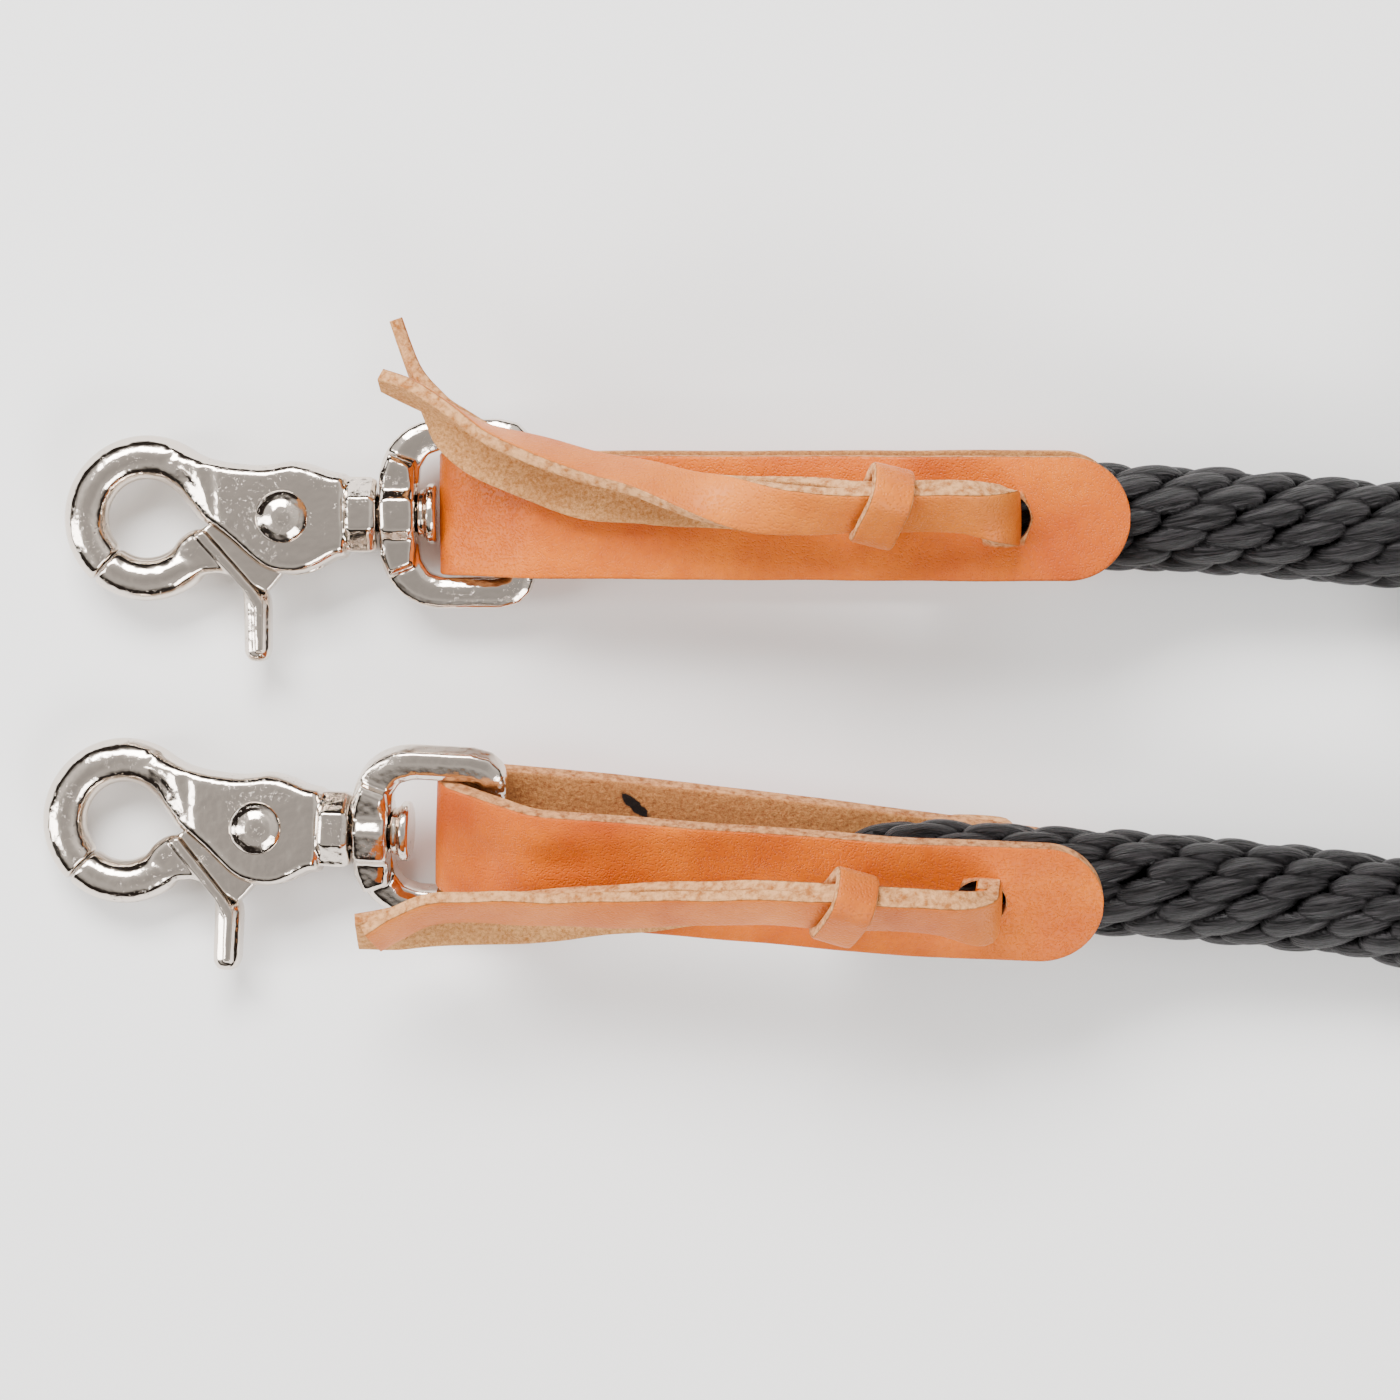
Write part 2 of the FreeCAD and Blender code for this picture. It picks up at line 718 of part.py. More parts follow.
def pinned(body, end):
    """Places a piece built round the rivet's axis."""
    placed(body, end, "snap_pitch", rolled=False)
    rivet_x, rivet_y = rivet_centre()
    move = Placement(Vector(rivet_x, rivet_y, 0), Rotation())
    body.Placement = body.Placement.multiply(move)
    return body


def trigger_spring(end):
    """The torsion spring that shuts the gate: a small coil round the rivet."""
    wire, middle = size("spring_wire") / 2, size("spring_diameter") / 2
    start = 0.45
    height = size("spring_pitch") * size("spring_turns")
    spiral = Part.makeHelix(size("spring_pitch"), height, middle)
    spiral.translate(Vector(0, 0, start))
    section = Part.Wire(Part.Circle(Vector(middle, 0, start), Vector(0, 1, 0), wire).toShape())
    coil = Part.Wire(spiral.Edges).makePipeShell([section], True, True)
    thing = doc.addObject("Part::Feature", f"trigger_spring_{end}")
    thing.Shape = coil
    return pinned(thing, end)


# Lace: flat strips through stations, each a small rectangle, with flat facets between them.
def end_frame(end):
    """The end's frame without its roll."""
    facts = ENDS[end]
    yaw = Rotation(Vector(0, 0, 1), facts["yaw"])
    lean = Rotation(Vector(0, 1, 0), facts["loop_pitch"])
    return Placement(Vector(*facts["bar"]), yaw * lean)


def flat(*corners):
    """A flat face through its corners."""
    return Part.Face(Part.makePolygon([*corners, corners[0]]))


def strip(stations, width, thickness, side=0.0):
    """A solid strip through its stations. side moves it along its own face direction."""
    middles = [Vector(x, y, z) for x, y, z, _, _ in stations]
    sections = []
    for number, (_, _, _, tilt, share) in enumerate(stations):
        before = middles[max(number - 1, 0)]
        after = middles[min(number + 1, len(middles) - 1)]
        run = (after - before).normalize()
        lean = math.radians(tilt)
        across = Vector(0, math.cos(lean), math.sin(lean))
        across = (across - run * across.dot(run)).normalize()
        face = across.cross(run).normalize()
        centre = middles[number] + face * side
        wide, thick = across * (width * share / 2), face * (thickness / 2)
        corners = [
            centre + wide + thick,
            centre - wide + thick,
            centre - wide - thick,
            centre + wide - thick,
        ]
        sections.append(corners)
    faces = [flat(*sections[0][::-1]), flat(*sections[-1])]
    for here, after in zip(sections, sections[1:]):
        for number in range(4):
            beside = (number + 1) % 4
            faces.append(flat(here[number], here[beside], after[number]))
            faces.append(flat(here[beside], after[beside], after[number]))
    return Part.Solid(Part.Shell(faces))


def lace(end):
    """One lace, doubled: its bight lies under the back layer's bridge, both strands come up
    through the rope and the front slot, pass the keeper and end as two free tails."""
    wide, thick = size("lace_width"), size("lace_thickness")
    runs = LACE[end]
    double = strip(runs["double"], wide, 2 * thick)
    upper = strip(runs["upper"], wide, thick, thick / 2)
    lower = strip(runs["lower"], wide, thick, -thick / 2)
    roll = Rotation(Vector(1, 0, 0), ENDS[end]["roll"])
    middle, spread = size("slot_middle"), size("slit_spread")
    back = -(size("strap_thickness") + 4.2)
    under = back - thick
    anchor = []
    for side in (-1, 1):
        foot = middle + side * spread / 2
        head = 88.3 + side * (thick / 2 - 0.1)
        stations = [
            (foot, 0, under, 0, 1.0),
            (foot, 0, back + size("strap_thickness"), 0, 1.0),
            (head, 0, 15.0, 0, 0.97),
            (head, 0, 19.3, 0, 0.95),
        ]
        anchor.append(strip(stations, wide, thick - 0.15))
    length = spread + thick
    bight = Part.makeBox(length, wide, thick, Vector(middle - length / 2, -wide / 2, under))
    inner = anchor[0].fuse([anchor[1], bight])
    inner.Placement = Placement(Vector(0, 0, 0), roll)
    for name, piece in (("double", double), ("upper", upper), ("lower", lower), ("inner", inner)):
        assert piece.isValid() and piece.Volume > 0, f"the {name} strip of lace {end} is unsound"
    thing = doc.addObject("Part::Feature", f"lace_{end}")
    thing.Shape = double.fuse([upper, lower, inner])
    thing.Placement = end_frame(end)
    return thing


def keeper(end):
    """A stitched leather ring that slides along the doubled lace."""
    body = doc.addObject("PartDesign::Body", f"keeper_{end}")
    room, wall = size("keeper_clearance"), size("keeper_thickness")
    wide = size("lace_width") / 2 + room
    thick = size("lace_thickness") + room
    hole = [(wide, thick), (-wide, thick), (-wide, -thick), (wide, -thick)]
    out_wide, out_thick, round_by = wide + wall, thick + wall, wall
    lean = round_by * (1 - math.sqrt(0.5))
    ring = []
    for side_y, side_z, first in ((1, 1, "z"), (-1, 1, "y"), (-1, -1, "z"), (1, -1, "y")):
        corner = (side_y * out_wide, side_z * out_thick)
        toward_z = (corner[0], corner[1] - side_z * round_by)
        toward_y = (corner[0] - side_y * round_by, corner[1])
        middle = (corner[0] - side_y * lean, corner[1] - side_z * lean)
        first_point, last_point = (
            (toward_z, toward_y) if first == "z" else (toward_y, toward_z)
        )
        ring.append(first_point)
        ring.append((middle, last_point))
    padded(body, f"keeper_ring_{end}", "YZ_Plane", [ring, hole], "keeper_length")
    x, y, z, tilt = KEEPER_AT[end]
    own = Placement(Vector(x, y, z), Rotation(Vector(1, 0, 0), tilt))
    body.Placement = end_frame(end).multiply(own)
    return body


# Rope: straight runs joined by tangent arcs.
def rope_path(points):
    """The rope's centreline and the radius of each of its arcs."""
    spots = [Vector(*point) for point in points]
    edges, radii, start = [], [], spots[0]
    for number in range(1, len(spots) - 1):
        corner = spots[number]
        back, ahead = spots[number - 1] - corner, spots[number + 1] - corner
        shorter = min(back.Length, ahead.Length)
        turn = math.pi - back.getAngle(ahead)
        reach = TURN_SHARE * shorter
        radius = reach / math.tan(turn / 2)
        radii.append(radius)
        first = corner + back.normalize() * reach
        last = corner + ahead.normalize() * reach
        inward = (back + ahead).normalize()
        middle = corner + inward * (radius / math.cos(turn / 2) - radius)
        edges.append(Part.LineSegment(start, first).toShape())
        edges.append(Part.Arc(first, middle, last).toShape())
        start = last
    edges.append(Part.LineSegment(start, spots[-1]).toShape())
    return Part.Wire(edges), radii


def rope_lead(end, points, hank):
    """The rope from its cut end in the leather to the hank, opened by the lace through it."""
    path, radii = rope_path(points)
    radius = size("rope_diameter") / 2
    way = Vector(*points[1]) - Vector(*points[0])
    ring = Part.Wire(Part.Circle(Vector(*points[0]), way, radius).toShape())
    tube = path.makePipeShell([ring], True, False)
    expected = math.pi * radius**2 * path.Length
    print(
        f"rope_lead_{end}: {path.Length:.1f} mm, radii",
        [round(r) for r in radii],
        f"volume {tube.Volume / expected:.3f} of section x length",
    )
    assert min(radii) > LEAST_RADIUS, "a bend of the rope is too tight"
    assert abs(tube.Volume / expected - 1) < VOLUME_TOLERANCE, "the rope's tube is wrong"
    room = 0.4
    passage = Part.makeBox(
        size("slit_spread") + 2 * size("lace_thickness"),
        size("lace_width") + 2 * room,
        60.0,
        Vector(size("slot_middle") - size("slit_spread") / 2 - size("lace_thickness"),
               -size("lace_width") / 2 - room, -25.0),
    )
    facts = ENDS[end]
    roll = Placement(Vector(0, 0, 0), Rotation(Vector(1, 0, 0), facts["roll"]))
    passage.Placement = end_frame(end).multiply(roll)
    thing = doc.addObject("Part::Feature", f"rope_lead_{end}")
    thing.Shape = tube.cut(passage).cut(hank.Shape)
    return thing


def stadium(reach, radius, middle):
    """A long oval: two straight runs and two half circles."""
    start = size("hank_start")
    end = start + reach
    return [
        (start, middle + radius),
        (end, middle + radius),
        ((end + radius, middle), (end, middle - radius)),
        (start, middle - radius),
        ((start - radius, middle), (start, middle + radius)),
    ]


def rope_turns():
    """The outer shape of the spare rope: a long oval, two strands deep."""
    body = doc.addObject("PartDesign::Body", "rope_turns")
    fold, half = size("hank_fold"), size("rope_diameter") / 2
    middle, run = size("hank_middle"), size("hank_run")
    outlines = [stadium(run, fold + half, middle), stadium(run, fold - half, middle)]
    padded(body, "hank_turns", "XY_Plane", outlines, "hank_height")
    body.Placement = Placement(Vector(0, 0, size("hank_height") / 2), Rotation())
    return body


def hank_tie(name, side):
    """A lace tied tight round the two strands of one of the hank's runs."""
    body = doc.addObject("PartDesign::Body", name)
    wall = size("tie_thickness")
    wide, high = size("rope_diameter") / 2, size("hank_height") / 2
    outer = [(wide + wall, high), (-wide - wall, high), (-wide - wall, -high), (wide + wall, -high)]
    high -= wall
    inner = [(wide, high), (-wide, high), (-wide, -high), (wide, -high)]
    padded(body, f"{name}_band", "YZ_Plane", [outer, inner], "tie_width")
    x = size("hank_start") + size("hank_run") / 2
    y = size("hank_middle") + side * size("hank_fold")
    body.Placement = Placement(Vector(x, y, size("hank_height") / 2), Rotation())
    return body


ties = [hank_tie("hank_tie_left", 1), hank_tie("hank_tie_right", -1)]
hank = cut("rope_hank", rope_turns(), fused("tied_places", *ties))
doc.recompute()
nodes = [hank, *ties]
for end, route in (("a", ROPE_A), ("b", ROPE_B)):
    nodes += [
        leather_loop(end),
        swivel_eye(end),
        snap_body(end),
        trigger(end),
        rivet(end),
        trigger_spring(end),
        lace(end),
        keeper(end),
        rope_lead(end, route, hank),
    ]
doc.recompute()

failed = [thing.Name for thing in doc.Objects if {"Invalid", "Error"} & set(thing.State)]
assert not failed, failed
os.makedirs("parts", exist_ok=True)
for node in nodes:
    node.Label = node.Name
    shape = node.Shape
    assert not shape.isNull() and shape.isValid(), f"{node.Name} has no sound shape"
    assert len(shape.Solids) == 1, f"{node.Name} has {len(shape.Solids)} solids"
    shape.exportStep(f"parts/{node.Name}.step")
ends = [thing.Shape for thing in nodes if not thing.Name.startswith(("rope", "hank"))]
box = Part.makeCompound(ends).BoundBox
sides = (box.XMin, box.XMax, box.YMin, box.YMax, box.ZMin, box.ZMax)
print("box without the rope", [round(side, 2) for side in sides])
for thing in nodes:
    print(f"{thing.Name:18s} lowest {thing.Shape.BoundBox.ZMin:7.2f}  volume {thing.Shape.Volume:9.0f}")
print(len(nodes), "nodes")
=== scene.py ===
# %% [markdown]
# # Rope reins with leather end loops
#
# The CAD frame comes in first. It holds the sizes, the joints and the collision solids. Each
# piece made here stands in the place of a CAD node and moves with the same body.

# %%
import math

import bmesh
import bpy
import numpy as np
from mathutils import Euler, Matrix, Vector, noise


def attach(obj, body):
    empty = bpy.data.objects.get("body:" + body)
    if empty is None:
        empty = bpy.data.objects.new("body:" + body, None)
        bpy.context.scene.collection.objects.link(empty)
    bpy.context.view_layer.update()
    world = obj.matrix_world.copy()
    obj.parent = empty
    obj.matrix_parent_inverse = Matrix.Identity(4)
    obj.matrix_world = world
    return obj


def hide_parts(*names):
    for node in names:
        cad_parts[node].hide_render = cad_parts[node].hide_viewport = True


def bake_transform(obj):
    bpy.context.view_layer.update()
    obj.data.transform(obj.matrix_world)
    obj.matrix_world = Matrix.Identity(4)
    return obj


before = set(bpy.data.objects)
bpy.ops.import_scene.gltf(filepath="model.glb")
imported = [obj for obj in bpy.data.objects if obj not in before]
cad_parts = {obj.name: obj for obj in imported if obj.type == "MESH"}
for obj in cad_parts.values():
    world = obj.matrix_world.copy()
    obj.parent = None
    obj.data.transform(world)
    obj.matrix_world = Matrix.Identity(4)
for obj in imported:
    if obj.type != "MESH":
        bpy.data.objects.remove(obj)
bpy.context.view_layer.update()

MM = 0.001
scene = bpy.context.scene

# %% [markdown]
# ## Where each end lies
#
# Every end is made in its own frame, in millimetres. The origin is the middle of the eye's bar,
# +X runs along the leather to its mouth, +Y runs along the bar and +Z leaves the front layer.
#
# Turns are in degrees. The mouth, the slot and the lace's head are places along the leather.
# Untwist is how much of the roll is gone at the mouth, and drift is how far the back layer has
# moved sideways there.

# %%
ENDS = {
    "a": {
        "bar": (-10.6, 23.7, 8.75),
        "yaw": 0.0,
        "roll": 5.6,
        "loop_pitch": -1.2,
        "snap_pitch": -1.5,
        "bar_from_fold": 15.3,
        "mouth": 108.9,
        "slot": 86.5,
        "head": 87.2,
        "untwist": 0.0,
        "drift": 0.0,
    },
    "b": {
        "bar": (-15.2, -34.8, 11.85),
        "yaw": -2.9,
        "roll": 28.0,
        "loop_pitch": 0.0,
        "snap_pitch": -5.4,
        "bar_from_fold": 11.2,
        "mouth": 108.9,
        "slot": 86.8,
        "head": 88.3,
        "untwist": 6.0,
        "drift": 7.5,
    },
}


def end_matrix(end, pitch="loop_pitch", rolled=False):
    """From an end's own frame, in metres, to the row frame."""
    facts = ENDS[end]
    roll = facts["roll"] if rolled else 0.0
    turn = Euler([math.radians(a) for a in (roll, facts[pitch], facts["yaw"])])
    return Matrix.Translation(Vector(facts["bar"]) * MM) @ turn.to_matrix().to_4x4()


for end in ENDS:
    print("end", end, "bar at", [round(v, 4) for v in end_matrix(end).translation])

# %% [markdown]
# ## Camera
#
# It looks straight down on the table, as the reins are usually shown, from far enough to keep
# the two ends parallel.

# %%
VIEW_WIDTH = 0.2545
VIEW_MIDDLE = (0.0215, -0.0102)
LENS = 120.0

camera = bpy.data.objects.new("camera", bpy.data.cameras.new("camera"))
camera.data.lens = LENS
distance = VIEW_WIDTH * LENS / camera.data.sensor_width
camera.location = (*VIEW_MIDDLE, distance + 0.008)
scene.collection.objects.link(camera)
scene.camera = camera
print("camera", round(distance, 3), "m above the table")

# %% [markdown]
# ## Materials
#
# One function adds a node, one turns a colour written as sRGB into the linear values that
# shaders take.

# %%
def colour(text):
    """Linear RGBA from an sRGB colour such as #c8662f."""
    parts = [int(text[i : i + 2], 16) / 255 for i in (1, 3, 5)]
    line = [c / 12.92 if c <= 0.04045 else ((c + 0.055) / 1.055) ** 2.4 for c in parts]
    return (*line, 1.0)


def add_node(tree, kind, inputs=(), **settings):
    """One shader node. settings are its own properties, inputs are values or sockets."""
    node = tree.nodes.new(f"ShaderNode{kind}")
    for name, value in settings.items():
        setattr(node, name, value)
    for name, value in dict(inputs).items():
        if isinstance(value, bpy.types.NodeSocket):
            tree.links.new(value, node.inputs[name])
        else:
            node.inputs[name].default_value = value
    return node


def new_material(name, **values):
    """A material with uniform values set on its shader."""
    made = bpy.data.materials.new(name)
    made.use_nodes = True
    shader = made.node_tree.nodes["Principled BSDF"]
    for key, value in values.items():
        shader.inputs[key.replace("_", " ")].default_value = value
    return made, made.node_tree, shader


def noise_map(tree, vector, scale, detail=3.0, roughness=0.55):
    """A noise value from 0 to 1."""
    inputs = {"Vector": vector, "Scale": scale, "Detail": detail, "Roughness": roughness}
    return add_node(tree, "TexNoise", inputs).outputs["Fac"]


def ranged(tree, value, low, high, to_low=0.0, to_high=1.0):
    """A value stretched from one range to another and kept inside it."""
    inputs = {
        "Value": value,
        "From Min": low,
        "From Max": high,
        "To Min": to_low,
        "To Max": to_high,
    }
    return add_node(tree, "MapRange", inputs).outputs["Result"]


def blended(tree, factor, first, second, how="MIX"):
    """Two colours mixed by a factor."""
    node = add_node(tree, "Mix", data_type="RGBA", blend_type=how)
    for socket, value in ((0, factor), (6, first), (7, second)):
        if isinstance(value, bpy.types.NodeSocket):
            tree.links.new(value, node.inputs[socket])
        else:
            node.inputs[socket].default_value = value
    return node.outputs[2]


def summed(tree, first, second, weight):
    """first + weight x second."""
    node = add_node(tree, "Math", operation="MULTIPLY_ADD")
    for socket, value in enumerate((second, weight, first)):
        if isinstance(value, bpy.types.NodeSocket):
            tree.links.new(value, node.inputs[socket])
        else:
            node.inputs[socket].default_value = value
    return node.outputs[0]


def add_bump(tree, shader, height, distance):
    """Surface relief of a height from 0 to 1 over a distance in metres."""
    inputs = {"Height": height, "Distance": distance, "Strength": 1.0}
    bump = add_node(tree, "Bump", inputs)
    tree.links.new(bump.outputs["Normal"], shader.inputs["Normal"])


def leather(name, grain, grain_dark, flesh, flesh_dark, edge, pore, shine, mark=None):
    """Vegetable-tanned leather: the side attribute is 1 on the grain, 0 on a cut edge and -1 on
    the flesh. pore is the size of a pore in millimetres. mark is where a patch of painted shadow
    lies on the flesh between a loop's layers: its middle, turn and half sizes in metres."""
    made, tree, shader = new_material(name, Specular_IOR_Level=0.24)
    place = add_node(tree, "TexCoord").outputs["Object"]
    side = add_node(tree, "Attribute", attribute_name="side").outputs["Fac"]
    on_grain = ranged(tree, side, 0.35, 0.8)
    on_flesh = ranged(tree, side, -0.35, -0.8)
    clouds = noise_map(tree, place, 55.0, 4.0)
    fine = noise_map(tree, place, 700.0, 4.0, 0.65)
    fibres = noise_map(tree, place, 1500.0, 6.0, 0.8)
    pores = add_node(tree, "TexVoronoi", {"Vector": place, "Scale": 1.0 / (pore * MM)})
    pits = ranged(tree, pores.outputs["Distance"], 0.0, 0.55)
    top = blended(tree, ranged(tree, clouds, 0.35, 0.7), colour(grain), colour(grain_dark))
    top = blended(tree, ranged(tree, fine, 0.45, 0.8, 0.0, 0.35), top, colour(grain_dark))
    rough = blended(tree, ranged(tree, fibres, 0.36, 0.62), colour(flesh_dark), colour(flesh))
    rough = blended(tree, ranged(tree, clouds, 0.4, 0.7, 0.0, 0.4), rough, colour(flesh_dark))
    if mark:
        # Painted shadow: a near-black patch #1c1410 on the flesh inside the loop, where the layers
        # shade it.
        spread = {"Vector": place, "Location": mark[0], "Rotation": mark[1], "Scale": mark[2]}
        near = add_node(tree, "Mapping", spread, vector_type="TEXTURE").outputs["Vector"]
        far = add_node(tree, "VectorMath", {0: near}, operation="LENGTH").outputs["Value"]
        painted_shadow = ranged(tree, summed(tree, far, fine, 0.9), 1.5, 1.25)
        rough = blended(tree, painted_shadow, rough, colour("#1c1410"))
    cut = blended(tree, ranged(tree, fine, 0.4, 0.65), colour(edge), colour(flesh_dark))
    shown = blended(tree, on_flesh, cut, rough)
    shown = blended(tree, on_grain, shown, top)
    tree.links.new(shown, shader.inputs["Base Color"])
    grain_roughness = ranged(tree, clouds, 0.3, 0.7, shine, shine + 0.1)
    roughness = add_node(tree, "Mix", {"Factor": on_grain}, data_type="FLOAT")
    roughness.inputs[2].default_value = 0.86
    tree.links.new(grain_roughness, roughness.inputs[3])
    tree.links.new(roughness.outputs[0], shader.inputs["Roughness"])
    grain_relief = summed(tree, pits, fine, 0.6)
    flesh_relief = summed(tree, fibres, fine, 1.4)
    relief = add_node(tree, "Mix", {"Factor": on_grain}, data_type="FLOAT")
    tree.links.new(flesh_relief, relief.inputs[2])
    scaled = add_node(tree, "Math", operation="MULTIPLY")
    tree.links.new(grain_relief, scaled.inputs[0])
    scaled.inputs[1].default_value = 0.3
    tree.links.new(scaled.outputs[0], relief.inputs[3])
    add_bump(tree, shader, relief.outputs[0], 0.00042)
    return made


# Russet harness leather, waxed on its grain side, with a painted shadow on the flesh inside end b.
LOOP_SHADOW = ((0.0097, -0.0293, 0.0), (0.0, 0.0, math.radians(-42)), (0.0036, 0.0011, 1.0))
harness_leather = leather(
    "harness_leather", "#d86e0a", "#b44a04", "#dd9c5c", "#9c5c30", "#e2a26c", 0.42, 0.36, LOOP_SHADOW
)
# Natural lace leather, lighter and drier.
lace_leather = leather(
    "lace_leather", "#dc7c26", "#bb5a16", "#f2b878", "#b06c34", "#ecb078", 0.55, 0.4
)


def nickel():
    """Bright nickel plate on a die casting, with small pits and faint waviness."""
    made, tree, shader = new_material("nickel_plate", Metallic=1.0)
    place = add_node(tree, "TexCoord").outputs["Object"]
    waves = noise_map(tree, place, 260.0, 2.0)
    grit = noise_map(tree, place, 2600.0, 3.0)
    specks = ranged(tree, noise_map(tree, place, 1500.0, 5.0, 0.7), 0.6, 0.68)
    patches = ranged(tree, noise_map(tree, place, 120.0, 2.0), 0.5, 0.6)
    both = add_node(tree, "Math", operation="MULTIPLY")
    tree.links.new(specks, both.inputs[0])
    tree.links.new(patches, both.inputs[1])
    pits = both.outputs[0]
    shade = blended(tree, pits, colour("#dbcfc3"), colour("#3a2c24"))
    tree.links.new(shade, shader.inputs["Base Color"])
    tree.links.new(ranged(tree, pits, 0.0, 1.0, 0.1, 0.5), shader.inputs["Roughness"])
    relief = summed(tree, waves, grit, 0.05)
    add_bump(tree, shader, summed(tree, relief, pits, -0.12), 0.00025)
    return made


def steel():
    """Bare spring steel wire."""
    made, _, _ = new_material("spring_steel", Metallic=1.0, Roughness=0.35)
    made.node_tree.nodes["Principled BSDF"].inputs["Base Color"].default_value = colour("#9a9a98")
    return made


def braid():
    """Black multifilament polypropylene: the fibre attribute is a place in its own lobe, along
    the yarn, across it, and a number of the lobe, in millimetres."""
    made, tree, shader = new_material("braided_rope", Specular_IOR_Level=0.5)
    place = add_node(tree, "Attribute", attribute_name="fibre").outputs["Vector"]
    stretch = {"Vector": place, "Scale": (0.16, 2.7, 3.1)}
    drawn = add_node(tree, "Mapping", stretch).outputs["Vector"]
    threads = noise_map(tree, drawn, 1.0, 5.0, 0.6)
    strands = add_node(tree, "Mapping", {"Vector": place, "Scale": (0.1, 1.5, 2.3)})
    bundles = noise_map(tree, strands.outputs["Vector"], 1.0, 2.0)
    shade = blended(tree, ranged(tree, threads, 0.42, 0.7), colour("#030203"), colour("#464244"))
    # Painted shade: low in a lobe's valley the colour goes to near black #010101 and the specular
    # drops, standing in for the shade between lobes.
    valley = add_node(tree, "Attribute", attribute_name="depth").outputs["Fac"]
    painted_shade_mask = ranged(tree, valley, 0.2, 0.8)
    shade = blended(tree, painted_shade_mask, colour("#010101"), shade)
    tree.links.new(shade, shader.inputs["Base Color"])
    rough = ranged(tree, threads, 0.3, 0.7, 0.3, 0.5)
    tree.links.new(rough, shader.inputs["Roughness"])
    gloss = add_node(tree, "Math", {0: painted_shade_mask, 1: 0.5}, operation="MULTIPLY").outputs[0]
    tree.links.new(gloss, shader.inputs["Specular IOR Level"])
    add_bump(tree, shader, summed(tree, threads, bundles, 1.0), 0.0021)
    return made


nickel_plate, spring_steel, braided_rope = nickel(), steel(), braid()
print(len(bpy.data.materials), "materials")

# %% [markdown]
# ## Mesh helpers
#
# A piece is made from points and faces in millimetres and handed over in the row frame, at the
# origin. A sweep carries a rounded strip section along stations.

# %%
def new_mesh(name, points, faces, **attributes):
    """A mesh object from points in millimetres, with point attributes."""
    mesh = bpy.data.meshes.new(name)
    mesh.from_pydata((np.asarray(points, float) * MM).tolist(), [], faces)
    for key, values in attributes.items():
        values = np.asarray(values, np.float32)
        kind, field = ("FLOAT", "value") if values.ndim == 1 else ("FLOAT_VECTOR", "vector")
        mesh.attributes.new(key, kind, "POINT").data.foreach_set(field, values.ravel())
    made = bpy.data.objects.new(name, mesh)
    scene.collection.objects.link(made)
    return made


def settle(made, material, place=None, smooth=True, crease=math.radians(42)):
    """Puts a finished mesh in the row frame and gives it its material."""
    if place is not None:
        made.data.transform(place)
    made.data.materials.clear()
    made.data.materials.append(material)
    if smooth:
        made.data.shade_smooth()
        made.data.set_sharp_from_angle(angle=crease)
    return made


def applied(made, name):
    """The object with its modifiers turned into its mesh."""
    graph = bpy.context.evaluated_depsgraph_get()
    mesh = bpy.data.meshes.new_from_object(made.evaluated_get(graph))
    fresh = bpy.data.objects.new(name, mesh)
    mesh.name = name
    scene.collection.objects.link(fresh)
    bpy.data.objects.remove(made)
    return fresh


def section(wide, thick, edge, across=8, corner=3):
    """A rounded strip section, counter-clockwise, as places across it and through it."""
    edge = min(edge, 0.95 * wide, 0.95 * thick)
    points = []
    for number, (x, y) in enumerate(((1, 1), (-1, 1), (-1, -1), (1, -1))):
        for step in range(corner + 1):
            turn = math.pi / 2 * (number + step / corner)
            place = (x * (wide - edge), y * (thick - edge))
            points.append((place[0] + edge * math.cos(turn), place[1] + edge * math.sin(turn)))
        if number % 2 == 0:
            for step in range(1, across):
                share = 1 - 2 * step / across
                points.append((x * share * (wide - edge), y * thick))
    return np.array(points)


def sweep(name, middles, across, face, wide, thick, edge, closed=False, cup=0.0, wobble=0.0):
    """A strip along stations. wide and thick are half sizes at each station, cup bends the
    strip's edges towards its flesh, wobble is the unevenness of its surface."""
    points, sides = [], []
    for number, middle in enumerate(middles):
        ring = section(wide[number], thick[number], edge)
        bend = cup * (ring[:, 0] / max(wide)) ** 2
        spot = middle[None] + np.outer(ring[:, 0], across[number])
        spot = spot + np.outer(ring[:, 1] - bend, face[number])
        points.append(spot)
        depth = ring[:, 1] / thick[number]
        sides.append(np.sign(depth) * np.clip((np.abs(depth) - 0.68) / 0.27, 0, 1))
    points, sides = np.concatenate(points), np.concatenate(sides)
    if wobble:
        shift = [noise.noise_vector(Vector(p) * 0.09) * wobble for p in points]
        points = points + np.array(shift)
    count, rings = len(ring), len(middles)
    faces = []
    for ring_number in range(rings if closed else rings - 1):
        here, there = ring_number * count, (ring_number + 1) % rings * count
        for step in range(count):
            after = (step + 1) % count
            faces.append((here + step, here + after, there + after, there + step))
    if not closed:
        faces.append(tuple(range(count))[::-1])
        faces.append(tuple(range((rings - 1) * count, rings * count)))
    made = new_mesh(name, points, faces, side=sides)
    turned = bmesh.new()
    turned.from_mesh(made.data)
    bmesh.ops.recalc_face_normals(turned, faces=turned.faces)
    turned.to_mesh(made.data)
    turned.free()
    return made


def unit(vectors):
    """Vectors of length one."""
    return vectors / np.linalg.norm(vectors, axis=-1, keepdims=True)


def between(before, here, there, after, share):
    """A place on the smooth curve through four rows, a share of the way from here to there."""
    return 0.5 * (
        2 * here
        + (there - before) * share
        + (2 * before - 5 * here + 4 * there - after) * share**2
        + (3 * here - before - 3 * there + after) * share**3
    )


def smooth_rows(rows, step):
    """Rows of numbers joined by a smooth curve, about a step apart in their first three."""
    rows = np.asarray(rows, float)
    padded = np.vstack([2 * rows[0] - rows[1], rows, 2 * rows[-1] - rows[-2]])
    found = []
    for number in range(1, len(padded) - 2):
        before, here, there, after = padded[number - 1 : number + 3]
        count = max(2, int(np.linalg.norm((there - here)[:3]) / step))
        for share in np.arange(count) / count:
            found.append(between(before, here, there, after, share))
    return np.array([*found, rows[-1]])


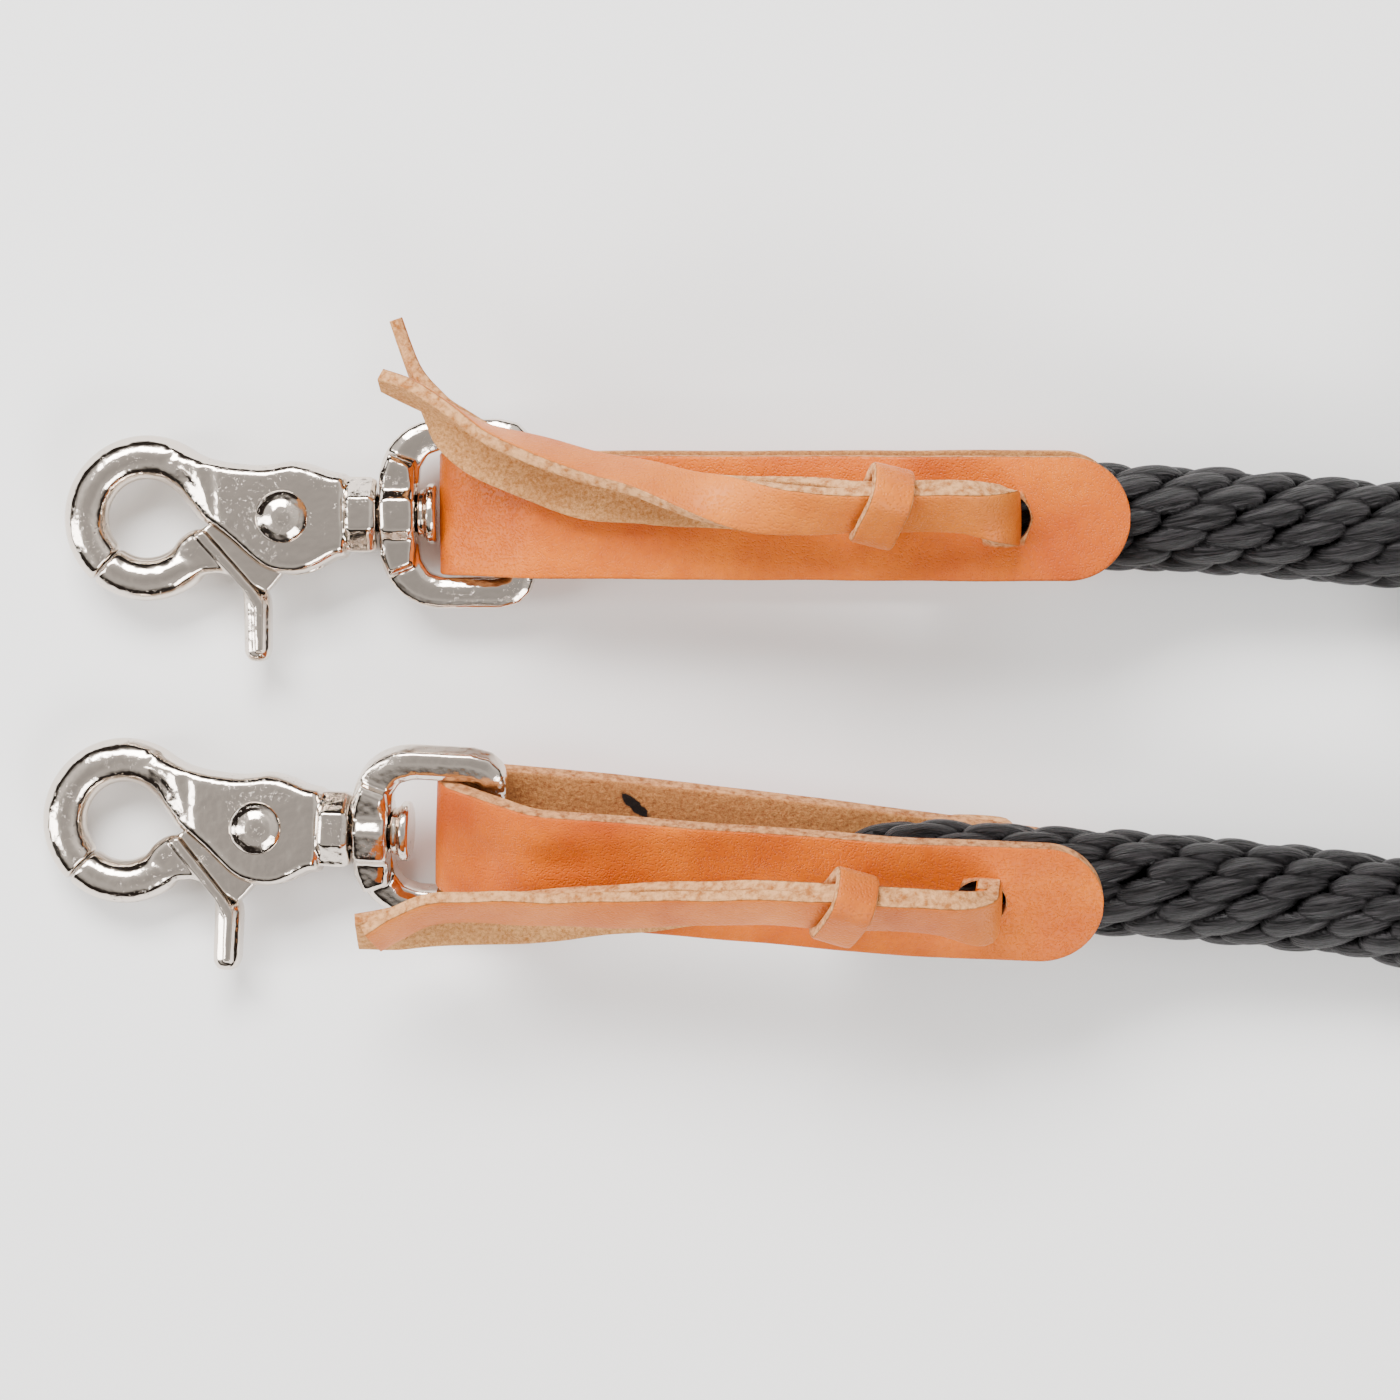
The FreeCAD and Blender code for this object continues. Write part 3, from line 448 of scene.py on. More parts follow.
def prism(outline, low, high):
    """A flat outline made thick."""
    count = len(outline)
    points = [(*p, low) for p in outline] + [(*p, high) for p in outline]
    faces = [tuple(range(count))[::-1], tuple(range(count, 2 * count))]
    for step in range(count):
        after = (step + 1) % count
        faces.append((step, after, count + after, count + step))
    return np.array(points, float), faces


print("strip section of", len(section(4.7, 1.1, 0.5)), "points")

# %% [markdown]
# ## Rope: its line
#
# The rope is one 7 ft length of 3/4 inch solid braid. Its line is a NURBS curve: the same points
# as the CAD tubes at both ends, and between them the two stacked turns of the hank.

# %%
ROPE_DIAMETER = 19.0
FOLD = 57.0
HANK_MIDDLE = -9.5
TIE_X = 381.0

ROPE_A = [
    (62.1, 23.1, 15.8),
    (101.1, 22.9, 16.6),
    (126.1, 21.3, 13.0),
    (150.1, 19.5, 10.1),
    (172.1, 20.1, 9.7),
]
ROPE_B = [
    (58.1, -41.1, 16.3),
    (96.1, -43.0, 15.6),
    (122.1, -45.3, 12.8),
    (148.1, -47.9, 10.2),
]


# Two stacked turns, from end a round to end b: low first, then high.
HANK = [
    (194.0, 34.0, 9.6), (216.0, 45.5, 9.6), (288.0, 47.5, 9.6), (350.0, 47.5, 9.6),
    (412.0, 47.5, 9.6), (474.0, 47.5, 9.6), (546.2, 48.6, 9.6), (575.5, 34.4, 9.6),
    (592.7, 6.8, 9.6), (592.7, -25.8, 9.6), (575.5, -53.4, 9.6), (546.2, -67.6, 9.6),
    (474.0, -66.5, 9.6), (412.0, -66.5, 9.6), (350.0, -66.5, 9.6), (288.0, -66.5, 9.6),
    (215.8, -67.6, 9.6), (190.8, -56.8, 9.6), (173.3, -36.0, 12.0), (167.0, -9.5, 21.0),
    (173.3, 17.0, 28.2), (190.8, 37.8, 28.6), (215.8, 48.6, 28.6), (288.0, 47.5, 28.6),
    (350.0, 47.5, 28.6), (412.0, 47.5, 28.6), (474.0, 47.5, 28.6), (546.2, 48.6, 28.6),
    (575.5, 34.4, 28.6), (592.7, 6.8, 28.6), (592.7, -25.8, 28.6), (575.5, -53.4, 28.6),
    (546.2, -67.6, 28.6), (474.0, -66.5, 28.6), (412.0, -66.5, 28.6), (350.0, -66.5, 28.6),
    (288.0, -66.5, 28.6), (222.0, -66.6, 28.6), (202.0, -66.2, 27.8), (184.0, -63.0, 22.5),
    (166.0, -55.0, 13.0),
]
route = [*ROPE_A, *HANK, *ROPE_B[::-1]]
curve = bpy.data.curves.new("rope_core", "CURVE")
curve.dimensions = "3D"
spline = curve.splines.new("NURBS")
spline.points.add(len(route) - 1)
for point, (x, y, z) in zip(spline.points, route):
    point.co = (x * MM, y * MM, z * MM, 1.0)
spline.order_u = 3
spline.use_endpoint_u = True
spline.resolution_u = 12
rope_core = bpy.data.objects.new("rope_core", curve)
scene.collection.objects.link(rope_core)
bpy.context.view_layer.update()
read = bpy.data.meshes.new_from_object(rope_core)
line = np.array([v.co for v in read.vertices]) / MM
bpy.data.meshes.remove(read)
steps = np.linalg.norm(np.diff(line, axis=0), axis=1)
line = line[np.concatenate([[True], steps > 1e-6])]
lengths = np.concatenate([[0], np.cumsum(np.linalg.norm(np.diff(line, axis=0), axis=1))])
rope_length = lengths[-1]
curve.bevel_depth = 7.0 * MM
curve.bevel_resolution = 6
curve.use_fill_caps = True
curve.materials.append(braided_rope)
print("rope", round(rope_length), "mm long")

# %% [markdown]
# ## Rope: its braid
#
# Fourteen wales run round the rope and spiral slowly. Each wale is a row of slanted lobes, where a
# yarn comes up, and a lobe's far end slips under the next one.

# %%
WALES = 14
OFFSET = 8 / WALES
PITCH = 12.5
SPIRAL = math.tan(math.radians(7.5)) / 9.5
CORE, LOBE_LONG, LOBE_WIDE, LOBE_HIGH = 7.0, 6.9, 2.95, 2.75
SLANT = math.radians(-9)
LEAN = 0.085


# The far end was crushed a little when it was cut, and tapers past the last full turn.
TIP = 13.0
tipped = np.vstack([line, line[-1] + np.array([-TIP, -1.6, -0.6])])
longer = np.append(lengths, rope_length + TIP)


def rope_frames(spacing):
    """Places along the rope with two directions across it that don't twist."""
    whole = rope_length + TIP
    along = np.linspace(0, whole, int(whole / spacing) + 1)
    spots = np.column_stack([np.interp(along, longer, tipped[:, axis]) for axis in range(3)])
    ways = unit(np.gradient(spots, axis=0))
    side = np.zeros_like(spots)
    side[0] = unit(np.cross(ways[0], (0, 0, 1)))
    for number in range(1, len(spots)):
        turned = side[number - 1] - ways[number] * np.dot(side[number - 1], ways[number])
        side[number] = turned / np.linalg.norm(turned)
    return along, spots, side, np.cross(ways, side)


LOBE_REACH = 9.0


def lobes(along, around):
    """The braid's radius and each point's place in its lobe."""
    wale = (around[None] + SPIRAL * along[:, None]) * WALES / (2 * math.pi)
    nearest = np.round(wale)
    best = np.full(wale.shape, -3.0)
    fibre = np.zeros((*wale.shape, 3))
    for beside in (-1, 0, 1):
        own = nearest + beside
        phase = own * OFFSET + np.sin(np.mod(own, WALES) * 7.7) * 0.06
        turn = along[:, None] / PITCH - phase
        for back in (-1, 0, 1):
            number = np.round(turn) + back
            seed = np.sin(np.mod(own, WALES) * 12.99 + number * 78.23) * 43758.5
            chance = seed - np.floor(seed)
            x = (turn - number) * PITCH + (chance - 0.5) * 1.2
            y = (wale - own) * (2 * math.pi * LOBE_REACH / WALES)
            slant = SLANT + (chance - 0.5) * 0.12
            far = x * np.cos(slant) + y * np.sin(slant)
            off = y * np.cos(slant) - x * np.sin(slant)
            narrow = LOBE_WIDE * (1 + 0.035 * far)
            inside = 1 - (np.abs(far) / LOBE_LONG) ** 2.2 - (np.abs(off) / narrow) ** 2
            high = LOBE_HIGH * np.sqrt(np.clip(inside, 0, 1)) + LEAN * far
            high = high * (0.9 + 0.14 * chance)
            better = (high > best) & (inside > 0)
            best = np.where(better, high, best)
            place = np.stack([far, off, chance * 50], axis=-1)
            fibre = np.where(better[..., None], place, fibre)
    return np.maximum(best, 0.0), fibre


def rope_part(name, start, end, spacing, points_around):
    """The braid between two places along the rope."""
    along, spots, side, up = rope_frames(spacing)
    chosen = (along >= start - 1e-6) & (along <= end + 1e-6)
    along, spots, side, up = along[chosen], spots[chosen], side[chosen], up[chosen]
    around = np.arange(points_around) * 2 * math.pi / points_around
    high, fibre = lobes(along, around)
    pinch = 1 - 0.1 * np.exp(-(((spots[:, 0] - TIE_X) / 9.0) ** 2))
    ends = np.minimum(along, rope_length + TIP - along)
    past = np.clip((along - rope_length + 4) / (TIP + 4), 0, 1)
    worn = (1 - 0.3 * np.exp(-ends / 1.6)) * (1 - 0.32 * past * past)
    radius = (CORE + high) * (pinch * worn)[:, None]
    outward = side[:, None] * np.cos(around)[None, :, None]
    outward = outward + up[:, None] * np.sin(around)[None, :, None]
    points = (spots[:, None] + outward * radius[..., None]).reshape(-1, 3)
    faces = []
    for row in range(len(along) - 1):
        first = row * points_around
        for step in range(points_around):
            after = (step + 1) % points_around
            up_row = first + points_around
            faces.append((first + step, first + after, up_row + after, up_row + step))
    faces.append(tuple(range(points_around))[::-1])
    faces.append(tuple(range(len(points) - points_around, len(points))))
    # The lobe's height, 0 in the valleys: the rope material paints shade there from it.
    depth = np.clip(high.ravel() / 2.0, 0, 1)
    made = new_mesh(name, points, faces, fibre=fibre.reshape(-1, 3), depth=depth)
    return settle(made, braided_rope, crease=math.radians(80))


SHOWN = 104.0
rope_pieces = [
    rope_part("rope_braid_a", 0.0, SHOWN, 0.5, 128),
    rope_part("rope_braid_middle", SHOWN - 2.0, rope_length - SHOWN + 2.0, 1.6, 60),
    rope_part("rope_braid_b", rope_length - SHOWN, rope_length + TIP, 0.5, 128),
]
print([len(piece.data.polygons) for piece in rope_pieces], "faces in the braid")

# %% [markdown]
# ## Leather loops
#
# A strap of harness leather is folded round the eye's bar. Its outside is the grain. The front
# layer has an oval slot, the back layer two slits, and both ends are cut round.

# %%
STRAP_HALF, STRAP_THICK = 11.1, 3.3
LOOP_GAP = 19.4
BACK = -4.2 - STRAP_THICK
TWIST_RUN = 110.0
SLIT_FEET = (82.8, 91.2)
STRAP_EDGE = 0.55


def fillet_path(points, radii, step):
    """A bent line with a round corner at each inner point, as places a step apart."""
    points = [np.array(p, float) for p in points]
    found = [points[0]]
    for number, radius in enumerate(radii, start=1):
        corner = points[number]
        back, ahead = unit(points[number - 1] - corner), unit(points[number + 1] - corner)
        half = math.acos(np.clip(np.dot(back, ahead), -1, 1)) / 2
        reach = radius / math.tan(half)
        middle = corner + unit(back + ahead) * (radius / math.sin(half))
        start, end = corner + back * reach - middle, corner + ahead * reach - middle
        turn = math.acos(np.clip(np.dot(unit(start), unit(end)), -1, 1))
        count = max(2, int(turn * radius / step) + 1)
        for share in np.linspace(0, 1, count + 1):
            spot = start * math.sin((1 - share) * turn) + end * math.sin(share * turn)
            found.append(middle + spot / math.sin(turn))
    found.append(points[-1])
    found = np.array(found)
    reach = np.concatenate([[0], np.cumsum(np.linalg.norm(np.diff(found, axis=0), axis=1))])
    return found, reach


def roll_at(end, x):
    """How far the leather of an end is turned about its length, in degrees."""
    facts = ENDS[end]
    share = np.clip(x / TWIST_RUN, 0, 1)
    return facts["roll"] - facts["untwist"] * share * share * (3 - 2 * share)


# Dents that the fold leaves in the front layer: where, how wide and how deep.
PUCKERS = [
    ((-2.0, -1.0), (3.6, 2.6), 1.1),
    ((11.0, 1.5), (8.0, 2.4), 1.2),
    ((4.0, -6.0), (5.0, 2.4), 0.7),
]


def leather_shape(end, points):
    """Turns points of an end's flat loop, in millimetres, to where the leather really lies."""
    facts = ENDS[end]
    x, y, z = points.T
    turn = np.radians(roll_at(end, x))
    share = np.clip(x / TWIST_RUN, 0, 1)
    back_layer = np.clip((4.0 - z) / 8.0, 0, 1)
    lowered = 0.7 * share**2 * (facts["untwist"] / 6.0)
    if end == "b":
        for spot, size, depth in PUCKERS:
            far = ((x - spot[0]) / size[0]) ** 2 + ((y - spot[1]) / size[1]) ** 2
            z = z - depth * np.exp(-far) * (z > 4.0)
    up = y * np.sin(turn) + z * np.cos(turn) - lowered
    drift = facts["drift"] * share**1.3 * back_layer
    return np.column_stack([x, y * np.cos(turn) - z * np.sin(turn) - drift, up])


def cutter(name, outline, low, high):
    """A prism that cuts a hole."""
    points, faces = prism(outline, low, high)
    return new_mesh(name, points, faces, side=np.zeros(len(points)))


def oval(middle, half_long, half_high):
    """An oval with flat sides."""
    found = []
    straight = max(half_long - half_high, 0.0)
    for step in range(32):
        turn = 2 * math.pi * (step + 0.5) / 32
        x = math.cos(turn) * min(half_high, half_long) + math.copysign(straight, math.cos(turn))
        found.append((middle + x, math.sin(turn) * half_high))
    return found


def leather_loop(end):
    """One folded strap."""
    facts = ENDS[end]
    tip, mouth = STRAP_THICK / 2 - facts["bar_from_fold"], facts["mouth"]
    back, front = BACK + STRAP_THICK / 2, BACK + 1.5 * STRAP_THICK + LOOP_GAP
    corners = [
        (mouth, back),
        (tip, back),
        (tip, back + 6.9),
        (tip + 16.0, 10.3),
        (tip + 35.0, 11.6),
        (tip + 58.0, 13.7),
        (tip + 83.0, front),
        (mouth, front),
    ]
    path, reach = fillet_path(corners, [4.35, 4.35, 12.0, 60.0, 60.0, 60.0], 0.6)
    total = reach[-1]
    curve_in = STRAP_HALF * (1 - np.cos(np.radians(np.linspace(9, 90, 14))))
    inner = np.arange(STRAP_HALF + 0.9, total - STRAP_HALF - 0.4, 0.9)
    places = np.concatenate([curve_in, inner, (total - curve_in)[::-1]])
    x = np.interp(places, reach, path[:, 0])
    z = np.interp(places, reach, path[:, 1])
    from_end = np.minimum(np.minimum(places, total - places), STRAP_HALF)
    wide = np.sqrt(STRAP_HALF**2 - (STRAP_HALF - from_end) ** 2)
    zero = np.zeros_like(x)
    middles = np.column_stack([x, zero, z])
    ways = unit(np.gradient(middles, axis=0))
    face = np.column_stack([-ways[:, 2], zero, ways[:, 0]])
    across = np.tile([0.0, 1.0, 0.0], (len(x), 1))
    thick = np.full(len(x), STRAP_THICK / 2 - 0.02)
    made = sweep(f"strap_{end}", middles, across, face, wide, thick, STRAP_EDGE, wobble=0.14)
    tools = [cutter("slot", oval(facts["slot"], 4.7, 4.5), 4.0, 30.0)]
    for foot in SLIT_FEET:
        tools.append(cutter("slit", oval(foot, 1.5, 5.1), -12.0, 2.0))
    for tool in tools:
        hole = made.modifiers.new("hole", "BOOLEAN")
        hole.operation, hole.solver, hole.object = "DIFFERENCE", "EXACT", tool
    made = applied(made, f"loop_{end}")
    for tool in tools:
        bpy.data.objects.remove(tool)
    points = np.array([v.co for v in made.data.vertices]) / MM
    shaped = leather_shape(end, points) * MM
    made.data.vertices.foreach_set("co", shaped.ravel())
    return settle(made, harness_leather, end_matrix(end))


loops = {end: leather_loop(end) for end in ENDS}
print({end: len(made.data.polygons) for end, made in loops.items()}, "faces in the loops")

# %% [markdown]
# ## Laces
#
# Each lace is doubled. Its bight lies under the back layer's bridge, both strands come up through
# the rope and out of the slot, pass the keeper and end as loose tails. A station is x, y, z, the
# tilt about its run and the share of the full width.

# %%
LACE_HALF, LACE_THICK, LACE_EDGE = 4.75, 2.4, 0.45

LACES = {
    "a": {
        "double": [
            (87.6, -1.7, 22.0, 14.0, 1.0),
            (85.6, -1.0, 25.6, 30.0, 1.0),
            (82.0, -0.3, 27.6, 44.0, 1.0),
            (77.0, 0.1, 28.2, 49.0, 1.0),
            (68.0, 0.1, 28.2, 49.0, 1.0),
            (60.0, 0.1, 28.2, 49.0, 1.0),
        ],
        "upper": [
            (52.0, -0.2, 27.2, 40.0, 1.0),
            (44.0, 0.2, 25.6, 22.0, 0.95),
            (32.5, 1.7, 23.4, -30.0, 0.9),
            (22.0, 4.5, 21.8, -50.0, 0.9),
            (12.0, 6.9, 20.8, -60.0, 0.95),
            (2.0, 9.9, 20.2, -70.0, 1.0),
            (-6.0, 12.7, 19.8, -80.0, 1.0),
            (-13.0, 16.6, 19.0, -96.0, 1.0),
            (-19.0, 19.8, 17.6, -106.0, 0.9),
            (-24.6, 22.3, 16.6, -110.0, 0.62),
        ],
        "lower": [
            (52.0, 0.5, 24.6, 36.0, 1.0),
            (44.0, 0.6, 21.4, 20.0, 1.0),
            (30.0, 1.6, 18.2, 5.0, 1.0),
            (14.0, 2.6, 16.4, 3.0, 1.0),
            (3.4, 6.0, 15.9, 3.0, 1.0),
            (-5.7, 10.0, 15.4, 6.0, 1.0),
            (-12.5, 14.6, 14.2, 16.0, 0.95),
            (-16.6, 19.2, 12.2, 34.0, 0.7),
            (-19.6, 24.0, 11.2, 54.0, 0.4),
            (-21.6, 29.0, 11.2, 64.0, 0.26),
            (-23.4, 34.0, 11.6, 70.0, 0.16),
        ],
    },
    "b": {
        "double": [
            (87.6, -9.0, 20.4, 34.0, 1.0),
            (85.6, -9.2, 23.6, 46.0, 1.0),
            (82.0, -8.8, 25.6, 56.0, 1.0),
            (77.0, -8.5, 26.0, 60.0, 1.0),
            (66.0, -8.5, 26.0, 60.0, 1.0),
            (57.0, -8.5, 26.0, 60.0, 1.0),
        ],
        "upper": [
            (46.0, -8.8, 23.6, 60.0, 1.0),
            (36.0, -9.4, 21.2, 60.0, 1.0),
            (26.0, -10.4, 18.8, 60.0, 1.0),
            (12.0, -11.2, 16.8, 62.0, 1.0),
            (-2.0, -11.4, 15.6, 64.0, 1.0),
            (-10.5, -12.2, 15.0, 64.0, 1.0),
            (-16.5, -15.0, 14.4, 62.0, 1.0),
            (-21.4, -18.2, 14.0, 60.0, 0.9),
        ],
        "lower": [
            (46.0, -9.2, 21.6, 54.0, 1.0),
            (36.0, -10.2, 17.6, 46.0, 1.0),
            (26.0, -11.6, 13.8, 36.0, 1.0),
            (12.0, -13.6, 10.8, 26.0, 1.0),
            (-2.0, -15.2, 9.6, 26.0, 1.0),
            (-10.5, -16.4, 9.0, 34.0, 1.0),
            (-17.5, -18.0, 8.8, 48.0, 1.0),
            (-23.8, -19.0, 8.8, 58.0, 1.0),
        ],
    },
}


def directions(rows):
    """The directions across and out of a strip at its stations."""
    ways = unit(np.gradient(rows[:, :3], axis=0))
    tilt = np.radians(rows[:, 3])
    across = np.column_stack([np.zeros(len(rows)), np.cos(tilt), np.sin(tilt)])
    across = unit(across - ways * np.sum(across * ways, axis=1, keepdims=True))
    return across, np.cross(across, ways)


def strand(end, name, side):
    """One strand of a lace, from under the back layer to the tip of its tail."""
    head = ENDS[end]["head"]
    roll = roll_at(end, head)
    turn = math.radians(roll)
    foot = 87.0 + side * 4.2
    inner = [(foot, z) for z in (BACK - 0.6, BACK + 3.0)]
    inner += [(head + side * LACE_THICK / 2, z) for z in (10.0, 17.0)]
    rows = [(x, -z * math.sin(turn), z * math.cos(turn), roll, 1.0, 0.0) for x, z in inner]
    for x, *rest in LACES[end]["double"]:
        moved = x + (head - 88.3) * max(0.0, (x - 72.0) / 15.6)
        rows.append((moved, *rest, side * LACE_THICK / 2))
    rows += [(*row, side * LACE_THICK / 2) for row in LACES[end][name]]
    rows = np.array(rows)
    _, face = directions(rows)
    rows[:, :3] += face * rows[:, 5:6]
    rows = smooth_rows(rows, 1.2)
    across, face = directions(rows)
    wide = LACE_HALF * np.clip(rows[:, 4], 0.15, 1.0)
    wide = wide + [0.22 * noise.noise(Vector((x * 0.12, side * 3, 5))) for x in rows[:, 0]]
    thick = np.full(len(rows), LACE_THICK / 2)
    outward = face * side
    return sweep(
        f"{name}_{end}",
        rows[:, :3],
        across * side,
        outward,
        wide,
        thick,
        LACE_EDGE,
        cup=0.3,
        wobble=0.35,
    )


def joined(name, pieces):
    """Several meshes as one."""
    whole = bmesh.new()
    for piece in pieces:
        whole.from_mesh(piece.data)
    mesh = bpy.data.meshes.new(name)
    whole.to_mesh(mesh)
    whole.free()
    for piece in pieces:
        bpy.data.objects.remove(piece)
    made = bpy.data.objects.new(name, mesh)
    scene.collection.objects.link(made)
    return made


def bight(end):
    """The lace where it passes under the back layer."""
    turn = math.radians(roll_at(end, ENDS[end]["head"]))
    places = [(-5.4, 1.4), (-4.6, -0.6), (-2.0, -1.2), (2.0, -1.2), (4.6, -0.6), (5.4, 1.4)]
    rows = []
    for x, z in places:
        low = BACK + z
        up = low * math.cos(turn)
        rows.append((87.0 + x, -low * math.sin(turn), up, math.degrees(turn), 1.0))
    rows = smooth_rows(rows, 0.8)
    across, face = directions(rows)
    wide, thick = np.full(len(rows), LACE_HALF), np.full(len(rows), LACE_THICK / 2)
    return sweep(f"bight_{end}", rows[:, :3], -across, -face, wide, thick, LACE_EDGE)


laces = {}
for end in ENDS:
    strips = [strand(end, "upper", 1), strand(end, "lower", -1), bight(end)]
    laces[end] = settle(joined(f"lace_piece_{end}", strips), lace_leather, end_matrix(end))
print({end: len(made.data.polygons) for end, made in laces.items()}, "faces in the laces")

# %% [markdown]
# ## Keepers and hank ties
#
# Both are closed bands of lace leather: the keeper goes round the doubled lace, a tie round the
# two stacked ropes of a run.

# %%
def band(name, outline, middle, along, flat, up, half_wide, half_thick, wobble):
    """A closed strip round an outline in the plane of two directions."""
    outline = np.array(outline)
    outline = np.vstack([outline, outline[:1]])
    reach = np.concatenate([[0], np.cumsum(np.linalg.norm(np.diff(outline, axis=0), axis=1))])
    places = np.linspace(0, reach[-1], 73)[:-1]
    spots = np.column_stack([np.interp(places, reach, outline[:, axis]) for axis in (0, 1)])
    ways = unit(np.roll(spots, -1, axis=0) - np.roll(spots, 1, axis=0))
    out = np.column_stack([ways[:, 1], -ways[:, 0]])
    middles = np.array(middle) + np.outer(spots[:, 0], flat) + np.outer(spots[:, 1], up)
    face = np.outer(out[:, 0], flat) + np.outer(out[:, 1], up)
    across = np.tile(along, (len(spots), 1))
    wide, thick = np.full(len(spots), half_wide), np.full(len(spots), half_thick)
    return sweep(name, middles, across, face, wide, thick, 0.6, closed=True, wobble=wobble)


def rounded_box(half_wide, half_high, radius):
    """A rectangle with round corners."""
    return section(half_wide, half_high, radius, 6, 6)


# The keepers sit a little askew on their laces.
KEEPER_HALF_WIDE = 3.7
KEEPER_LIE = unit(np.array([1.0, -0.24, -0.22]))
KEEPERS = {"a": (64.6, 0.1, 28.2, 49.0), "b": (62.5, -8.5, 26.0, 60.0)}
keepers = {}
for end, (x, y, z, tilt) in KEEPERS.items():
    lean = math.radians(tilt)
    flat = np.array([0, math.cos(lean), math.sin(lean)])
    flat = unit(flat - KEEPER_LIE * np.dot(flat, KEEPER_LIE))
    up = np.cross(KEEPER_LIE, flat)
    outline = rounded_box(6.5, 4.1, 3.1)
    ways = KEEPER_LIE, flat, up
    made = band(f"keeper_piece_{end}", outline, (x, y, z), *ways, KEEPER_HALF_WIDE, 1.15, 0.3)
    keepers[end] = settle(made, lace_leather, end_matrix(end))

TIE_THICK, TIE_HALF_WIDE = 2.2, 6.6
ties = {}
for name, side in (("left", 1), ("right", -1)):
    reach = ROPE_DIAMETER / 2 + TIE_THICK / 2
    half = ROPE_DIAMETER - TIE_THICK / 2
    outline = rounded_box(reach, half, reach - 0.4)
    middle = (TIE_X, HANK_MIDDLE + side * FOLD, ROPE_DIAMETER + 0.1)
    ways = (1, 0, 0), (0, 1, 0), (0, 0, 1)
    made = band(f"hank_tie_piece_{name}", outline, middle, *ways, TIE_HALF_WIDE, 1.05, 0.1)
    ties[name] = settle(made, lace_leather)
print(len(keepers), "keepers,", len(ties), "ties")

# %% [markdown]
# ## Castings
#
# Each casting is built from prisms, rods and rings, melted into one skin and eased, as a zinc
# die casting is when it is tumbled and plated.

# %%
def turned_part(profile, middle=(0, 0, 0), axis="x", count=64):
    """A closed profile of distances along an axis and radii, spun round that axis. A small
    count leaves flats, one of them on top."""
    points, faces = [], []
    for step in range(count):
        turn = 2 * math.pi * (step + 0.5) / count
        for along, radius in profile:
            a, b = radius * math.cos(turn), radius * math.sin(turn)
            points.append({"x": (along, a, b), "y": (b, along, a), "z": (a, b, along)}[axis])
    size = len(profile)
    for step in range(count):
        after = (step + 1) % count
        for number in range(size):
            beside = (number + 1) % size
            here, there = step * size, after * size
            faces.append((here + number, here + beside, there + beside, there + number))
    return np.array(points, float) + np.array(middle, float), faces


def ring_arc(middle, radius, wire, start, end, count=72, around=32):
    """Part of a ring of round wire, with flat ends."""
    points, faces = [], []
    for step in range(count + 1):
        turn = math.radians(start + (end - start) * step / count)
        for spot in range(around):
            angle = 2 * math.pi * spot / around
            reach = radius + wire * math.cos(angle)
            x, y = reach * math.cos(turn), reach * math.sin(turn)
            points.append((middle[0] + x, middle[1] + y, wire * math.sin(angle)))
    for step in range(count):
        for spot in range(around):
            after = (spot + 1) % around
            here, there = step * around, (step + 1) * around
            faces.append((here + spot, here + after, there + after, there + spot))
    faces.append(tuple(range(around))[::-1])
    faces.append(tuple(range(count * around, (count + 1) * around)))
    return np.array(points), faces


def casting(name, parts, voxel=0.27, easing=7):
    """Parts melted into one skin."""
    points, faces, start = [], [], 0
    for own_points, own_faces in parts:
        points.append(own_points)
        faces += [tuple(i + start for i in face) for face in own_faces]
        start += len(own_points)
    made = new_mesh(name, np.concatenate(points), faces)
    fixed = bmesh.new()
    fixed.from_mesh(made.data)
    bmesh.ops.recalc_face_normals(fixed, faces=fixed.faces)
    bmesh.ops.triangulate(fixed, faces=[f for f in fixed.faces if len(f.verts) > 4])
    fixed.to_mesh(made.data)
    fixed.free()
    melt = made.modifiers.new("melt", "REMESH")
    melt.mode, melt.voxel_size, melt.use_smooth_shade = "VOXEL", voxel * MM, True
    ease = made.modifiers.new("ease", "SMOOTH")
    ease.factor, ease.iterations = 0.6, easing
    return applied(made, name)


def curved(points, per=6):
    """A closed outline smoothed through its points."""
    rows = np.array([(*p, 0.0) for p in points])
    count = len(rows)
    found = []
    for number in range(count):
        before, here = rows[number - 1], rows[number]
        there, after = rows[(number + 1) % count], rows[(number + 2) % count]
        for share in np.arange(per) / per:
            spot = between(before, here, there, after, share)
            found.append((spot[0], spot[1]))
    return found


def inset(outline, distance):
    """An outline moved inwards."""
    points = np.array(outline)
    ways = unit(np.roll(points, -1, axis=0) - np.roll(points, 1, axis=0))
    x, y = points.T
    area = np.sum(x * np.roll(y, -1) - np.roll(x, -1) * y)
    inward = np.column_stack([-ways[:, 1], ways[:, 0]]) * math.copysign(1.0, area)
    return [tuple(p) for p in points + inward * distance]


def pillow(outline, half, crown=1.0):
    """A prism whose faces step in towards a crowned middle."""
    return [
        prism(outline, -(half - crown), half - crown),
        prism(inset(outline, 0.7), -(half - crown * 0.45), half - crown * 0.45),
        prism(inset(outline, 1.5), -half, half),
    ]


print("a pillow of", len(pillow([(0, 0), (9, 0), (9, 9), (0, 9)], 3.0)), "layers")

# %% [markdown]
# ## Castings: the eye
#
# The eye is one D: a bored boss with eight flats, two arms that curve back from it and the bar
# that the leather is folded round.

# %%
RIVET = (-43.4, -0.8)
RING = (-68.5, -0.8)


